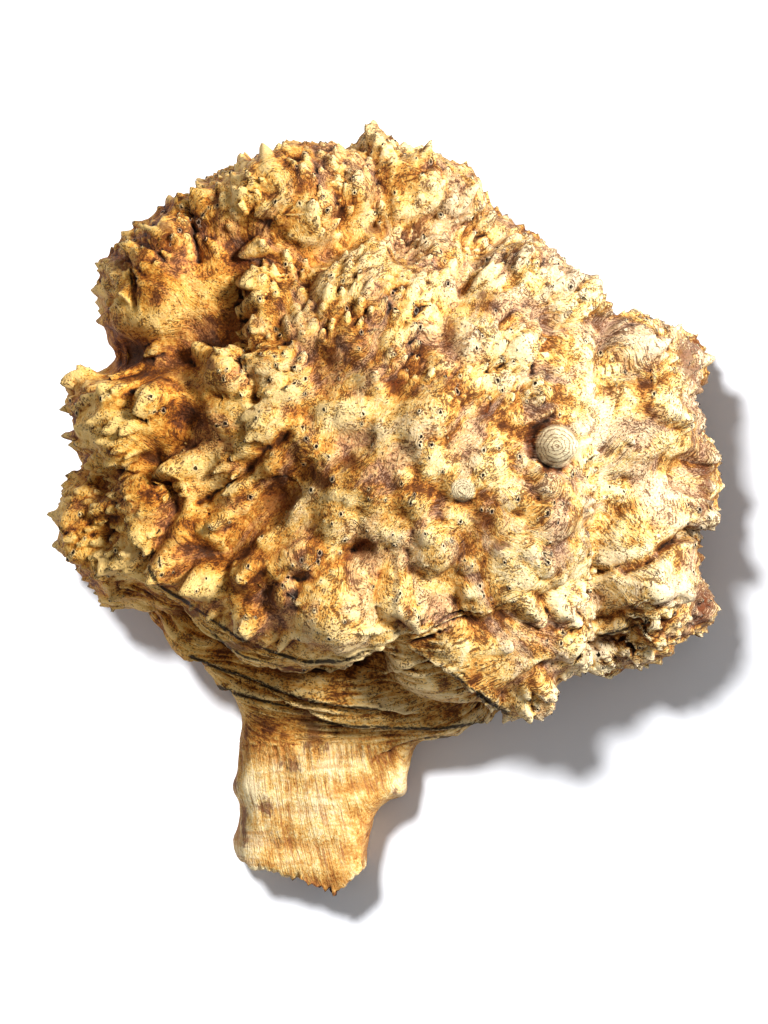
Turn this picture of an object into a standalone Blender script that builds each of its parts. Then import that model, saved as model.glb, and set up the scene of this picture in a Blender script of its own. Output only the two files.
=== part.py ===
"""A debarked tree burl with its collar and the broken stub of its trunk, lying on its sawn back.

It grew as one piece of wood, so it is one solid. Rounded lobes run together into the body, creases and
folds are pressed into that, and bulges, knobs and spurs rise from it, most leaning away from the crown.
Metres, +Z up. The origin is on the sawn back, below the middle of the burl. The stub points to -Y.

Places are given as pixels of the reference picture, which looks straight down on the burl. Sizes are
millimetres.
"""

import math
import random
from itertools import product

import bmesh
import bpy
import numpy as np
from mathutils import Euler, Matrix, Vector, kdtree, noise
from mathutils.bvhtree import BVHTree

MM = 0.001

# The reference picture: one pixel is this long at the height of the burl's rim
PIXEL = 0.6 * MM
PICTURE_MIDDLE = (382.0, 510.0)
RIM_HEIGHT = 70 * MM
EYE_HEIGHT = 2200 * MM

# The crown, which knobs and folds lean away from
CROWN_PIXEL = (395.0, 430.0)
CROWN_HEIGHT = 180 * MM

# The body's mesh before its relief
VOXEL = 4.0 * MM
DRAW_BOX = ((-240 * MM, 240 * MM), (-270 * MM, 270 * MM), (-20 * MM, 230 * MM))
BLEND_ROUNDS = 7
SAWN_DEPTH = -14 * MM

# Each lobe: middle in the picture, height of its middle, half sizes in X, Y and Z, turn about Z in degrees
LOBES = {
    "heart": ((385, 425), 50, (150, 144, 82), 0),
    "heart_north_west": ((262, 306), 54, (94, 86, 80), 0),
    "crown": ((408, 430), 96, (112, 122, 84), 0),
    "crown_west": ((290, 430), 92, (66, 96, 72), 0),
    "crown_low": ((318, 572), 100, (86, 52, 62), -8),
    "crown_east": ((500, 440), 96, (66, 108, 74), 0),
    "south_east": ((486, 622), 84, (68, 48, 50), 12),
    "south_corner": ((528, 686), 72, (26, 22, 26), 0),
    "east": ((636, 558), 68, (45, 56, 50), 0),
    "east_tip": ((682, 520), 66, (20, 18, 26), 0),
    "north_east": ((616, 400), 82, (49, 58, 54), 0),
    "east_bud": ((690, 366), 46, (20, 25, 22), 0),
    "far_east_rim": ((682, 480), 46, (21, 46, 30), 0),
    "far_east_bud": ((692, 608), 34, (18, 18, 20), 0),
    "east_low_rim": ((622, 642), 46, (48, 24, 32), 8),
    "north_band": ((542, 308), 90, (46, 36, 54), -28),
    "north_band_rim": ((550, 292), 60, (34, 18, 34), -30),
    "north_grey": ((418, 214), 76, (46, 40, 52), -38),
    "north_peak": ((378, 154), 62, (17, 17, 26), 0),
    "north_west": ((294, 212), 88, (58, 37, 56), 8),
    "north_rim": ((312, 174), 62, (52, 16, 34), 0),
    "west_upper": ((166, 290), 78, (45, 52, 54), -20),
    "west_rim": ((216, 222), 68, (33, 25, 42), 25),
    "west_middle": ((168, 414), 86, (62, 42, 54), 12),
    "west_tip": ((90, 392), 72, (18, 18, 24), 0),
    "west_low": ((110, 544), 66, (42, 43, 44), 0),
    "west_low_tip": ((68, 516), 66, (14, 18, 20), 0),
    "west_inner": ((190, 520), 84, (50, 52, 56), 0),
    "collar_high": ((300, 630), 46, (86, 42, 36), -10),
    "collar_west": ((212, 622), 50, (32, 32, 34), 0),
    "collar_low": ((345, 680), 42, (82, 34, 34), -4),
    "collar_east": ((424, 704), 40, (46, 24, 28), -2),
}

# What the picture shows of the whole outline, without its teeth, clockwise from the top left
OUTLINE = (
    (262, 152), (300, 146), (350, 148), (362, 130), (376, 123), (402, 128), (428, 142), (455, 170), (482, 195),
    (500, 222), (520, 240), (560, 260), (590, 266), (603, 285), (620, 312), (650, 326), (678, 330), (700, 345),
    (711, 375), (698, 400), (708, 425), (715, 450), (716, 490), (706, 530), (703, 570), (716, 605), (712, 628),
    (680, 640), (655, 664), (618, 678), (562, 674), (545, 708), (510, 716), (470, 727), (452, 738), (415, 745),
    (408, 770), (411, 785), (403, 797), (390, 795), (380, 805), (367, 850), (363, 868), (335, 897), (300, 883),
    (255, 872), (235, 852), (233, 835), (243, 797), (234, 788), (237, 765), (243, 720), (215, 690), (199, 675),
    (176, 645), (158, 620), (140, 607), (112, 602), (100, 585), (78, 568), (60, 550), (50, 522), (62, 500),
    (76, 478), (82, 456), (74, 430), (68, 400), (70, 380), (94, 355), (98, 335), (96, 300), (105, 270),
    (128, 250), (154, 230), (174, 203), (204, 185), (240, 168),
)
KNOB_ROOM = 9.0
ROOM_FADE = 30.0
OUTLINE_HOLD = 0.8

# Outline of the trunk's stub in the picture, its height over the table and the crown of its outer face
STUB_OUTLINE = (
    (214, 668), (242, 722), (239, 746), (236, 768), (232, 790), (243, 797), (239, 818), (233, 840), (232, 866),
    (256, 888), (300, 902), (338, 912), (380, 880), (367, 850), (369, 834), (378, 808), (388, 796), (404, 797),
    (411, 784), (408, 768), (414, 748), (452, 722), (470, 668),
)
STUB_HEIGHT = 46 * MM
STUB_CROWN = 10 * MM
STUB_EDGE = 0.72
STUB_TOP_SHARE = 0.86

# The stub's two broken ends: a point in the picture that each passes through, and its outward direction there
BREAKS = (((285, 876), (-0.36, -0.93)), ((350, 882), (0.68, -0.73)))

# Creases: depth and half width in mm, and the line that each follows in the picture
CREASES = {
    "crown_valley": (7, 12, ((474, 256), (454, 300), (430, 344), (398, 386), (360, 424), (318, 468), (280, 500),
                             (244, 530), (212, 556))),
    "crown_east_valley": (4, 9, ((548, 318), (538, 360), (524, 404), (528, 448), (530, 490), (500, 528),
                                 (470, 560), (448, 600))),
    "west_valley": (7, 13, ((268, 198), (246, 240), (234, 285), (218, 326), (186, 346), (146, 358), (104, 372))),
    "west_crease": (5, 4, ((240, 285), (241, 330), (245, 366), (252, 398))),
    "west_fold": (8, 6, ((84, 456), (122, 466), (156, 462), (170, 486), (172, 508), (158, 536), (151, 556))),
    "slant_fold": (6, 4, ((200, 500), (232, 482), (258, 454), (286, 436))),
    "north_gap": (7, 7, ((588, 320), (604, 322), (644, 312))),
    "grey_gap": (8, 8, ((398, 232), (440, 214), (474, 226), (488, 262), (460, 284))),
    "east_fold": (6, 4, ((596, 574), (640, 558), (678, 540), (712, 518))),
    "east_low_fold": (6, 4, ((602, 620), (640, 610), (672, 594))),
    "rim_fold": (7, 5, ((588, 652), (622, 641), (652, 624), (692, 600))),
    "corner_fold": (5, 3, ((498, 699), (520, 683), (545, 668), (564, 660))),
    "finger_fold": (5, 4, ((262, 596), (292, 580), (330, 562), (366, 548))),
    "nodule_crease": (5, 3, ((552, 416), (538, 426), (532, 442), (537, 458), (548, 467), (562, 470), (574, 462))),
    "rim_crease": (4, 2, ((130, 262), (132, 290), (134, 308))),
    "north_west_crease": (4, 2, ((203, 184), (196, 205), (194, 225), (198, 258))),
    "east_lobe_crease": (5, 3, ((706, 524), (680, 540), (654, 556), (620, 572))),
    "east_low_crease": (4, 3, ((656, 620), (640, 624), (610, 632))),
}

# Folds: how far one side stands over the other and how far back it swells, in mm, and the line between
# them, drawn with the standing side on its left
FOLDS = {
    "under_crown": (12, 16, ((142, 548), (158, 585), (188, 603), (215, 622), (240, 639), (272, 652), (306, 662),
                             (345, 659), (372, 646), (398, 628), (432, 621))),
    "east_crest": (6, 18, ((592, 654), (580, 640), (583, 600), (588, 560), (584, 520), (586, 490), (600, 450))),
    "corner_slit": (9, 10, ((424, 656), (448, 670), (476, 692), (508, 715))),
    "second": (5, 6, ((205, 625), (225, 645), (245, 657), (270, 663), (300, 671), (330, 673), (370, 660),
                      (406, 642), (440, 630))),
    "third": (10, 8, ((190, 656), (215, 667), (240, 675), (270, 688), (300, 698), (330, 705), (370, 708),
                      (402, 711))),
    "fourth": (7, 6, ((198, 679), (235, 693), (260, 700), (300, 709), (330, 714))),
    "fifth": (9, 8, ((288, 704), (310, 716), (325, 722), (345, 726), (400, 728), (440, 729), (484, 722))),
    "lowest": (4, 6, ((390, 750), (408, 742), (430, 737), (456, 737))),
    "swirl_high": (4, 6, ((344, 668), (372, 652), (400, 632), (436, 614), (470, 606))),
    "swirl_low": (4, 7, ((392, 672), (430, 662), (460, 674), (500, 702))),
}
FOLD_DROP = 1.2 * MM
FOLD_CUT = 0.7
FOLD_HOLLOW = 0.5
# Which slopes count as facing the picture: the normal's least height, and how far above that it counts in full
FACING = (-0.35, 0.5)

# Large bulges and hollows that the picture shows: pixel, radius and height in mm, and lean
BULGES = (
    ((334, 613), 31, 15, 0.2), ((558, 445), 14, 13, 0.3), ((515, 586), 19, 9, 0.3), ((552, 522), 17, 8, 0.4),
    ((438, 412), 18, 6, 0.0), ((356, 418), 15, 5, 0.0), ((374, 284), 23, 9, 0.2), ((314, 212), 17, 8, 0.4),
    ((272, 182), 17, 9, 0.5), ((358, 186), 15, 9, 0.4), ((482, 344), 19, 9, 0.2), ((521, 348), 14, 8, 0.3),
    ((268, 298), 18, 9, 0.4), ((280, 364), 17, 6, 0.3), ((190, 470), 14, 9, 0.6), ((206, 584), 13, 11, 0.6),
    ((166, 570), 12, 9, 0.6), ((130, 560), 16, 8, 0.5), ((248, 622), 13, 9, 0.6), ((218, 528), 13, 7, 0.6),
    ((246, 572), 12, 6, 0.5), ((334, 526), 15, 6, 0.2), ((463, 488), 9, 6, 0.2), ((440, 553), 16, 8, 0.3),
    ((616, 494), 11, 6, 0.5), ((640, 350), 20, 8, 0.4), ((610, 366), 15, 5, 0.4), ((664, 400), 14, 7, 0.6),
    ((650, 582), 20, 8, 0.6), ((698, 516), 13, 9, 0.8), ((600, 650), 10, 6, 0.5), ((640, 650), 10, 6, 0.6),
    ((540, 700), 14, 7, 0.6), ((572, 640), 12, 7, 0.7), ((560, 606), 12, 6, 0.5), ((152, 398), 14, 8, 0.6),
    ((112, 396), 10, 7, 0.7), ((222, 370), 14, 7, 0.3), ((76, 520), 12, 7, 0.7), ((108, 512), 14, 6, 0.5),
    ((414, 606), 12, 6, 0.6), ((377, 146), 12, 8, 0.3), ((422, 160), 9, 6, 0.4), ((206, 206), 13, 7, 0.5),
    ((172, 236), 13, 7, 0.5), ((122, 276), 12, 6, 0.6), ((440, 250), 14, 6, 0.3), ((524, 262), 14, 7, 0.5),
    ((588, 300), 13, 7, 0.6), ((548, 268), 12, 7, 0.6), ((690, 360), 12, 6, 0.4), ((696, 608), 11, 6, 0.4),
    ((328, 470), 11, 4, 0.1), ((418, 502), 10, 4, 0.1), ((404, 478), 7, 3, 0.1), ((545, 562), 13, 6, 0.4),
    ((490, 458), 11, 5, 0.1), ((352, 340), 14, 5, 0.1), ((424, 332), 14, 6, 0.2), ((404, 302), 13, 5, 0.2),
    ((332, 282), 13, 6, 0.3), ((304, 334), 12, 5, 0.3), ((396, 346), 11, 4, 0.1), ((446, 290), 12, 6, 0.3),
    ((502, 384), 11, 5, 0.2), ((540, 392), 10, 5, 0.3), ((480, 604), 13, 6, 0.4), ((396, 600), 15, 8, 0.4),
    ((300, 560), 12, 6, 0.3), ((286, 592), 11, 6, 0.4), ((396, 535), 10, 4, 0.1), ((545, 482), 10, 5, 0.2),
    ((518, 498), 10, 4, 0.2), ((262, 424), 13, 5, 0.3), ((304, 440), 12, 4, 0.1), ((470, 560), 10, 4, 0.2),
    ((374, 500), 10, 4, 0.1), ((430, 450), 10, 3, 0.0), ((222, 420), 14, 6, 0.4), ((300, 392), 11, 4, 0.2),
)
HOLLOWS = (
    ((278, 500), 18, 6), ((378, 228), 9, 3), ((362, 546), 14, 2), ((488, 524), 9, 2), ((392, 384), 8, 2),
)

# Spurs that the picture shows, each rising from its root to its tip and ending steeply: pixels of tip and
# root, half width and height in mm
SPURS = (
    ((112, 378), (158, 350), 5, 5), ((114, 393), (165, 366), 5, 5), ((88, 402), (116, 388), 5, 4),
    ((141, 412), (182, 378), 9, 7), ((124, 430), (150, 418), 6, 5), ((106, 432), (126, 418), 5, 4),
    ((92, 424), (108, 410), 4, 4), ((74, 436), (100, 428), 6, 5), ((66, 410), (90, 402), 5, 5),
    ((70, 386), (96, 374), 8, 6), ((168, 474), (240, 442), 11, 9), ((199, 354), (238, 370), 11, 8),
    ((152, 578), (192, 530), 11, 7), ((188, 590), (222, 556), 12, 6), ((212, 526), (250, 500), 8, 6),
    ((240, 580), (272, 540), 8, 4), ((104, 566), (142, 548), 9, 6), ((54, 520), (88, 498), 8, 6),
    ((60, 546), (90, 532), 8, 5), ((97, 512), (120, 500), 6, 5), ((244, 630), (268, 604), 9, 4),
    ((282, 645), (294, 626), 5, 3), ((298, 604), (306, 594), 4, 3), ((148, 352), (172, 338), 5, 4),
    ((97, 292), (122, 286), 7, 5), ((95, 322), (120, 318), 7, 5), ((105, 268), (128, 268), 7, 5),
    ((128, 248), (150, 257), 7, 6), ((150, 232), (168, 246), 6, 6), ((170, 206), (186, 224), 7, 6),
    ((205, 186), (214, 208), 7, 6), ((244, 162), (253, 184), 7, 7), ((264, 152), (278, 174), 8, 6),
    ((247, 252), (284, 236), 8, 6), ((244, 282), (286, 270), 8, 6), ((241, 313), (280, 298), 8, 6),
    ((246, 338), (286, 322), 8, 6), ((246, 366), (280, 352), 7, 5), ((262, 214), (300, 196), 8, 5),
    ((306, 162), (312, 190), 6, 5), ((333, 162), (334, 188), 7, 5), ((358, 176), (356, 206), 9, 6),
    ((374, 130), (386, 162), 8, 7), ((402, 132), (404, 154), 7, 5), ((427, 142), (426, 164), 5, 7),
    ((470, 190), (458, 210), 7, 5), ((490, 216), (476, 234), 7, 5), ((498, 262), (484, 286), 6, 4),
    ((530, 252), (512, 276), 6, 5), ((552, 264), (536, 288), 6, 5), ((574, 274), (556, 298), 6, 5),
    ((594, 278), (576, 302), 6, 5), ((610, 300), (590, 318), 7, 5), ((640, 314), (612, 332), 8, 5),
    ((662, 344), (636, 354), 8, 5), ((684, 420), (646, 400), 11, 6), ((706, 454), (662, 436), 12, 7),
    ((710, 488), (690, 478), 6, 5), ((706, 521), (640, 492), 17, 9), ((684, 590), (628, 566), 15, 8),
    ((668, 610), (606, 600), 9, 6), ((654, 620), (600, 628), 8, 5), ((630, 650), (594, 644), 7, 6),
    ((664, 638), (636, 632), 6, 5), ((586, 657), (556, 640), 8, 7), ((577, 622), (545, 604), 9, 6),
    ((548, 692), (518, 664), 10, 6), ((528, 712), (508, 690), 8, 6), ((698, 392), (676, 380), 7, 5),
    ((704, 360), (684, 352), 8, 6), ((698, 560), (676, 548), 6, 4), ((632, 442), (622, 430), 4, 3),
    ((508, 648), (470, 640), 8, 4), ((415, 625), (398, 605), 7, 6), ((392, 645), (372, 636), 4, 3),
    ((540, 618), (512, 598), 10, 6), ((496, 700), (470, 672), 7, 5),
)
SPUR_WIDTHS = (1.25, 0.6)
SPUR_FRONT = 0.35
SPUR_LEAN = 0.55
SPUR_REACH = 0.8

# Knobs that a seeded draw spreads over the outside: how many, least gap, radius and height in mm
KNOB_SIZES = (
    {"seed": 11, "count": 520, "gap": 20.0, "radius": (9.0, 14.0), "height": (2.2, 4.6)},
    {"seed": 23, "count": 420, "gap": 14.0, "radius": (5.0, 8.0), "height": (1.2, 2.6)},
)
TRIES_A_KNOB = 40
DRAW_DEPTH = 30 * MM
LOWEST_KNOB = 4 * MM
KNOB_TAIL = 1.9
KNOB_FRONT = 0.8
KNOB_RAGGED = 0.1
KNOB_REACH = 0.5
BULGE_TAIL = 1.25
# How full a dome is: 2 is a bell, 1 has steep sides
BULGE_FULL = 1.25

# Knobs are rounded and upright at the crown, and pointed, higher and leaning towards the rim
RIM_REACH = 190 * MM
SHARPNESS = (0.2, 0.75)
LEAN = (0.3, 0.9)
GAIN = (0.55, 1.3)
LEVEL_LEAN = 0.35

# Wood without knobs: the collar and stub, the bottom of the valley, and the middle of each large bulge
BARE_OUTLINE = (
    (120, 590), (150, 572), (188, 603), (240, 639), (306, 662), (372, 646), (432, 621), (448, 655), (476, 692),
    (508, 715), (540, 760), (540, 1000), (100, 1000), (100, 650),
)
# Smooth wood that only spurs stand on
SMOOTH_PATCHES = (
    ((160, 262), (200, 250), (245, 215), (258, 235), (240, 262), (236, 330), (196, 338), (150, 345), (110, 372),
     (85, 372), (100, 335), (120, 300)),
    ((594, 470), (600, 336), (650, 336), (666, 360), (688, 410), (698, 460), (698, 520), (686, 560), (678, 600),
     (650, 616), (594, 650)),
    ((430, 620), (480, 600), (572, 620), (560, 690), (500, 700), (440, 660)),
    ((90, 380), (150, 345), (240, 360), (245, 440), (170, 465), (110, 450), (80, 420)),
    ((150, 500), (230, 500), (262, 540), (280, 600), (300, 640), (240, 636), (190, 604), (150, 580)),
)
SMOOTH_LOWEST = 45 * MM
BARE_VALLEY = 9 * MM
BARE_SHARE = 0.85
BARE_MOST = 15 * MM
STUB_TOP_PIXEL = 700
BREAK_TOP_PIXEL = 800

# Slow swelling of the wood between the knobs
SWELL_LENGTH = 46 * MM
SWELL_HEIGHT = 8.0 * MM

# Folds that run down from the crown over the sides: how many in a turn, and their height
RIBS = 11.0
RIB_HEIGHT = 4.0 * MM
# Ribs start where the wood is this steep, and swelling fades by this share over this many pixels onto the stub
RIB_STEEP = (0.9, 0.6)
STUB_CALM = 0.8
STUB_FADE = 60.0

TRIANGLES = 11600
SAWN_FLAT = 0.4 * MM

WOOD_COLOUR = (0.62, 0.43, 0.20, 1.0)
WOOD_ROUGHNESS = 0.62


def clear_scene():
    for thing in list(bpy.data.objects):
        bpy.data.objects.remove(thing, do_unlink=True)


def spread_at(height):
    """How much wider than at the rim the picture's pixels are at this height."""
    return (EYE_HEIGHT - height) / (EYE_HEIGHT - RIM_HEIGHT)


def place(pixel, height):
    """The point at this height that the picture shows at this pixel."""
    step = PIXEL * spread_at(height)
    return Vector(((pixel[0] - PICTURE_MIDDLE[0]) * step, (PICTURE_MIDDLE[1] - pixel[1]) * step, height))


def pixels_of(points):
    """Where the picture shows each of these points, as an array of pixels."""
    step = PIXEL * spread_at(points[:, 2])
    return np.stack((PICTURE_MIDDLE[0] + points[:, 0] / step, PICTURE_MIDDLE[1] - points[:, 1] / step), axis=1)


def smooth_step(value):
    held = np.clip(value, 0.0, 1.0)
    return held * held * (3.0 - 2.0 * held)


def add_lobes(mesh):
    """One ellipsoid for each lobe."""
    for pixel, height, half_sizes, turn in LOBES.values():
        middle = place(pixel, height * MM)
        turned = Euler((0.0, 0.0, math.radians(turn)))
        matrix = Matrix.LocRotScale(middle, turned, Vector(half_sizes) * MM)
        bmesh.ops.create_icosphere(mesh, subdivisions=4, radius=1.0, matrix=matrix)


def add_stub(mesh):
    """The trunk's stub: its outline drawn up from below the saw cut, narrowing to a crowned outer face."""
    middle = sum((place(pixel, STUB_HEIGHT) for pixel in STUB_OUTLINE), Vector()) / len(STUB_OUTLINE)
    rings = []
    for height, share in ((SAWN_DEPTH, 1.0), (STUB_HEIGHT * STUB_EDGE, 1.0), (STUB_HEIGHT, STUB_TOP_SHARE)):
        ring = []
        for pixel in STUB_OUTLINE:
            point = place(pixel, height)
            point.x = middle.x + (point.x - middle.x) * share
            ring.append(mesh.verts.new(point))
        rings.append(ring)
    mesh.faces.new(rings[0])
    for low, high in zip(rings, rings[1:]):
        for i in range(len(low)):
            j = (i + 1) % len(low)
            mesh.faces.new((low[j], low[i], high[i], high[j]))
    top = mesh.verts.new(middle + Vector((0.0, 0.0, STUB_CROWN)))
    for i in range(len(rings[-1])):
        j = (i + 1) % len(rings[-1])
        mesh.faces.new((rings[-1][j], rings[-1][i], top))


def gaps_to_line(pixels, line):
    """Each pixel's nearest point on a line, and its side of the line: 1 on its left, -1 on its right."""
    least = np.full(len(pixels), np.inf)
    side = np.ones(len(pixels))
    nearest = np.zeros((len(pixels), 2))
    corners = np.array(line, float)
    for start, end in zip(corners, corners[1:]):
        run = end - start
        share = np.clip(((pixels - start) @ run) / (run @ run), 0.0, 1.0)
        foot = start + share[:, None] * run
        gap = pixels - foot
        distance = np.hypot(gap[:, 0], gap[:, 1])
        nearer = distance < least
        least[nearer] = distance[nearer]
        nearest[nearer] = foot[nearer]
        turn = run[0] * gap[:, 1] - run[1] * gap[:, 0]
        side[nearer] = np.where(turn[nearer] <= 0.0, 1.0, -1.0)
    return nearest, least, side


def within(pixels, outline):
    """Whether each pixel is inside a closed outline."""
    inside = np.zeros(len(pixels), bool)
    for start, end in zip(outline, outline[1:] + outline[:1]):
        spans = (start[1] > pixels[:, 1]) != (end[1] > pixels[:, 1])
        rise = (end[1] - start[1]) or 1.0
        crossing = start[0] + (pixels[:, 1] - start[1]) * (end[0] - start[0]) / rise
        inside ^= spans & (pixels[:, 0] < crossing)
    return inside


def hold_to_outline(points):
    """Points moved in plan so that the picture's outline holds them, with room left for knobs."""
    pixels = pixels_of(points)
    nearest, distance, _ = gaps_to_line(pixels, OUTLINE + OUTLINE[:1])
    inside = within(pixels, OUTLINE)
    room = KNOB_ROOM * (1.0 - smooth_step((pixels[:, 1] - STUB_TOP_PIXEL) / ROOM_FADE))
    excess = np.where(inside, room - distance, room + distance)
    inward = (pixels - nearest) * np.where(inside, 1.0, -1.0)[:, None] / np.maximum(distance, 1e-6)[:, None]
    moved = pixels + inward * (np.maximum(excess, 0.0) * OUTLINE_HOLD)[:, None]
    step = PIXEL * spread_at(points[:, 2])
    held = points.copy()
    held[:, 0] = (moved[:, 0] - PICTURE_MIDDLE[0]) * step
    held[:, 1] = (PICTURE_MIDDLE[1] - moved[:, 1]) * step
    return held


def add_modifier(thing, name, kind, **settings):
    modifier = thing.modifiers.new(name, kind)
    for key, value in settings.items():
        setattr(modifier, key, value)


def applied(thing):
    """The object's mesh with its modifiers applied, as a new mesh."""
    graph = bpy.context.evaluated_depsgraph_get()
    made = bpy.data.meshes.new_from_object(thing.evaluated_get(graph))
    bpy.data.objects.remove(thing, do_unlink=True)
    return made


def linked(name, mesh):
    thing = bpy.data.objects.new(name, mesh)
    bpy.context.scene.collection.objects.link(thing)
    return thing


def body_mesh():
    """The lobes and the stub run together into one smooth closed mesh."""
    draft = bmesh.new()
    add_lobes(draft)
    add_stub(draft)
    bmesh.ops.recalc_face_normals(draft, faces=draft.faces)
    mesh = bpy.data.meshes.new("body")
    draft.to_mesh(mesh)
    draft.free()
    thing = linked("body", mesh)
    add_modifier(thing, "run_together", "REMESH", mode="VOXEL", voxel_size=VOXEL)
    mesh = applied(thing)
    points = np.empty(len(mesh.vertices) * 3)
    mesh.vertices.foreach_get("co", points)
    mesh.vertices.foreach_set("co", hold_to_outline(points.reshape(-1, 3)).ravel())
    thing = linked("body", mesh)
    add_modifier(thing, "blend", "SMOOTH", factor=0.5, iterations=BLEND_ROUNDS)
    return applied(thing)


def finer(mesh, levels):
    thing = linked("finer", mesh)
    add_modifier(thing, "finer", "SUBSURF", levels=levels, render_levels=levels)
    return applied(thing)


def skin_of(mesh):
    """The mesh's faces, ready to be searched."""
    faces = [tuple(polygon.vertices) for polygon in mesh.polygons]
    return BVHTree.FromPolygons([vertex.co.copy() for vertex in mesh.vertices], faces)


def seen(skin, pixel):
    """The point and normal that the picture shows at this pixel."""
    eye = Vector((0.0, 0.0, EYE_HEIGHT))
    point, normal, _, _ = skin.ray_cast(eye, place(pixel, 0.0) - eye)
    if point is None:
        raise ValueError(f"no wood at pixel {pixel}")
    return point, normal


def last_seen(skin, start, end):
    """The point and normal at the end pixel, or just inside the rim when that pixel lies past it."""
    for part in np.linspace(1.0, 0.1, 10):
        pixel = np.array(start) + (np.array(end) - np.array(start)) * part
        try:
            return seen(skin, pixel)
        except ValueError:
            continue
    raise ValueError(f"no wood near pixel {end}")


class Surface:
    """A mesh's points and normals as arrays, which relief is added to in layers."""

    def __init__(self, mesh):
        self.mesh = mesh
        self.count = len(mesh.vertices)
        self.read()

    def read(self):
        """Takes points and normals from the mesh, and starts a new layer."""
        self.points = np.empty(self.count * 3)
        self.mesh.vertices.foreach_get("co", self.points)
        self.points = self.points.reshape(-1, 3)
        self.normals = np.empty(self.count * 3)
        self.mesh.vertices.foreach_get("normal", self.normals)
        self.normals = self.normals.reshape(-1, 3)
        self.moves = np.zeros((self.count, 3))
        self.raised = np.zeros(self.count)
        self.tree = kdtree.KDTree(self.count)
        for index, point in enumerate(self.points):
            self.tree.insert(point, index)
        self.tree.balance()
        self.skin = skin_of(self.mesh)

    def write(self):
        """Moves the mesh's points by this layer, then starts the next."""
        self.mesh.vertices.foreach_set("co", (self.points + self.moves).ravel())
        self.mesh.update()
        self.read()

    def knob(self, middle, normal, radius, height, lean, tail, front, sharp, full=2.0):
        """Raises a knob, with a long slope towards the crown and a short one away from it."""
        away = middle - place(CROWN_PIXEL, CROWN_HEIGHT)
        away.z *= LEVEL_LEAN
        away -= normal * away.dot(normal)
        if away.length < 1e-6:
            away = Vector((1.0, 0.0, 0.0))
        away.normalize()
        across = normal.cross(away)
        found = self.tree.find_range(middle, radius * max(tail, 1.0) + height)
        near = np.array([index for _, index, _ in found], dtype=int)
        if not len(near):
            return
        offset = self.points[near] - np.array(middle)
        along = offset @ np.array(away)
        side = offset @ np.array(across)
        depth = offset @ np.array(normal)
        along = np.where(along < 0.0, along / tail, along / front) / radius
        reach = np.sqrt(along**2 + (side / radius) ** 2 + (depth / (2.0 * radius)) ** 2)
        turn = np.arctan2(side, along) + middle.x / MM
        reach *= 1.0 + KNOB_RAGGED * (np.sin(2.0 * turn) + np.sin(3.0 * turn + 1.0))
        held = np.clip(1.0 - reach, 0.0, 1.0)
        dome = np.clip(1.0 - reach**2, 0.0, 1.0) ** full
        rise = (1.0 - sharp) * dome + sharp * held * np.sqrt(held)
        rise *= smooth_step(KNOB_REACH + self.normals[near] @ np.array(normal))
        lift = np.abs(height * rise)
        higher = lift > self.raised[near]
        chosen, rise = near[higher], rise[higher]
        self.raised[chosen] = lift[higher]
        push = np.outer(rise, np.array(normal)) + np.outer(rise**2 * lean, np.array(away))
        self.moves[chosen] = push * height

    def spur(self, tip, root, normal, half_width, height):
        """Raises a spur that climbs from its root and drops steeply past its tip."""
        away = tip - root
        away -= normal * away.dot(normal)
        length = away.length
        away.normalize()
        across = np.array(normal.cross(away))
        found = self.tree.find_range(tip - away * (0.5 * length), 0.5 * length + half_width + height)
        near = np.array([index for _, index, _ in found], dtype=int)
        offset = self.points[near] - np.array(tip)
        along = offset @ np.array(away)
        run = np.clip(1.0 + along / length, 0.0, 1.0)
        width = half_width * between(SPUR_WIDTHS, run)
        side = (offset @ across) / width
        climb = smooth_step(run) * np.clip(1.0 - side**2, 0.0, 1.0)
        drop = np.clip(1.0 - (along / (SPUR_FRONT * half_width)) ** 2 - side**2, 0.0, 1.0)
        rise = np.where(along < 0.0, climb, drop)
        rise *= smooth_step(SPUR_REACH + self.normals[near] @ np.array(normal))
        higher = height * rise > self.raised[near]
        chosen, rise = near[higher], rise[higher]
        self.raised[chosen] = height * rise
        push = np.outer(rise, np.array(normal)) + np.outer(rise**2 * SPUR_LEAN, np.array(away))
        self.moves[chosen] = push * height


def press_creases(surface):
    """Creases between the lobes and folds of the collar, on the side that the picture shows."""
    pixels = pixels_of(surface.points)
    facing = smooth_step((surface.normals[:, 2] - FACING[0]) / FACING[1])
    lift = np.zeros(surface.count)
    for depth, half_width, line in CREASES.values():
        _, distance, _ = gaps_to_line(pixels, line)
        lift -= depth * MM * np.exp(-((distance * PIXEL / (half_width * MM)) ** 2))
    for height, swelling, line in FOLDS.values():
        _, distance, side = gaps_to_line(pixels, line)
        distance *= PIXEL
        over = smooth_step(0.5 + 0.5 * side * distance / FOLD_DROP)
        above = (1.0 - FOLD_CUT) * np.exp(-distance / (swelling * MM))
        below = -FOLD_CUT * np.exp(-distance / (FOLD_HOLLOW * swelling * MM))
        lift += height * MM * (over * above + (1.0 - over) * below)
    surface.moves += surface.normals * (lift * facing)[:, None]


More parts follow.
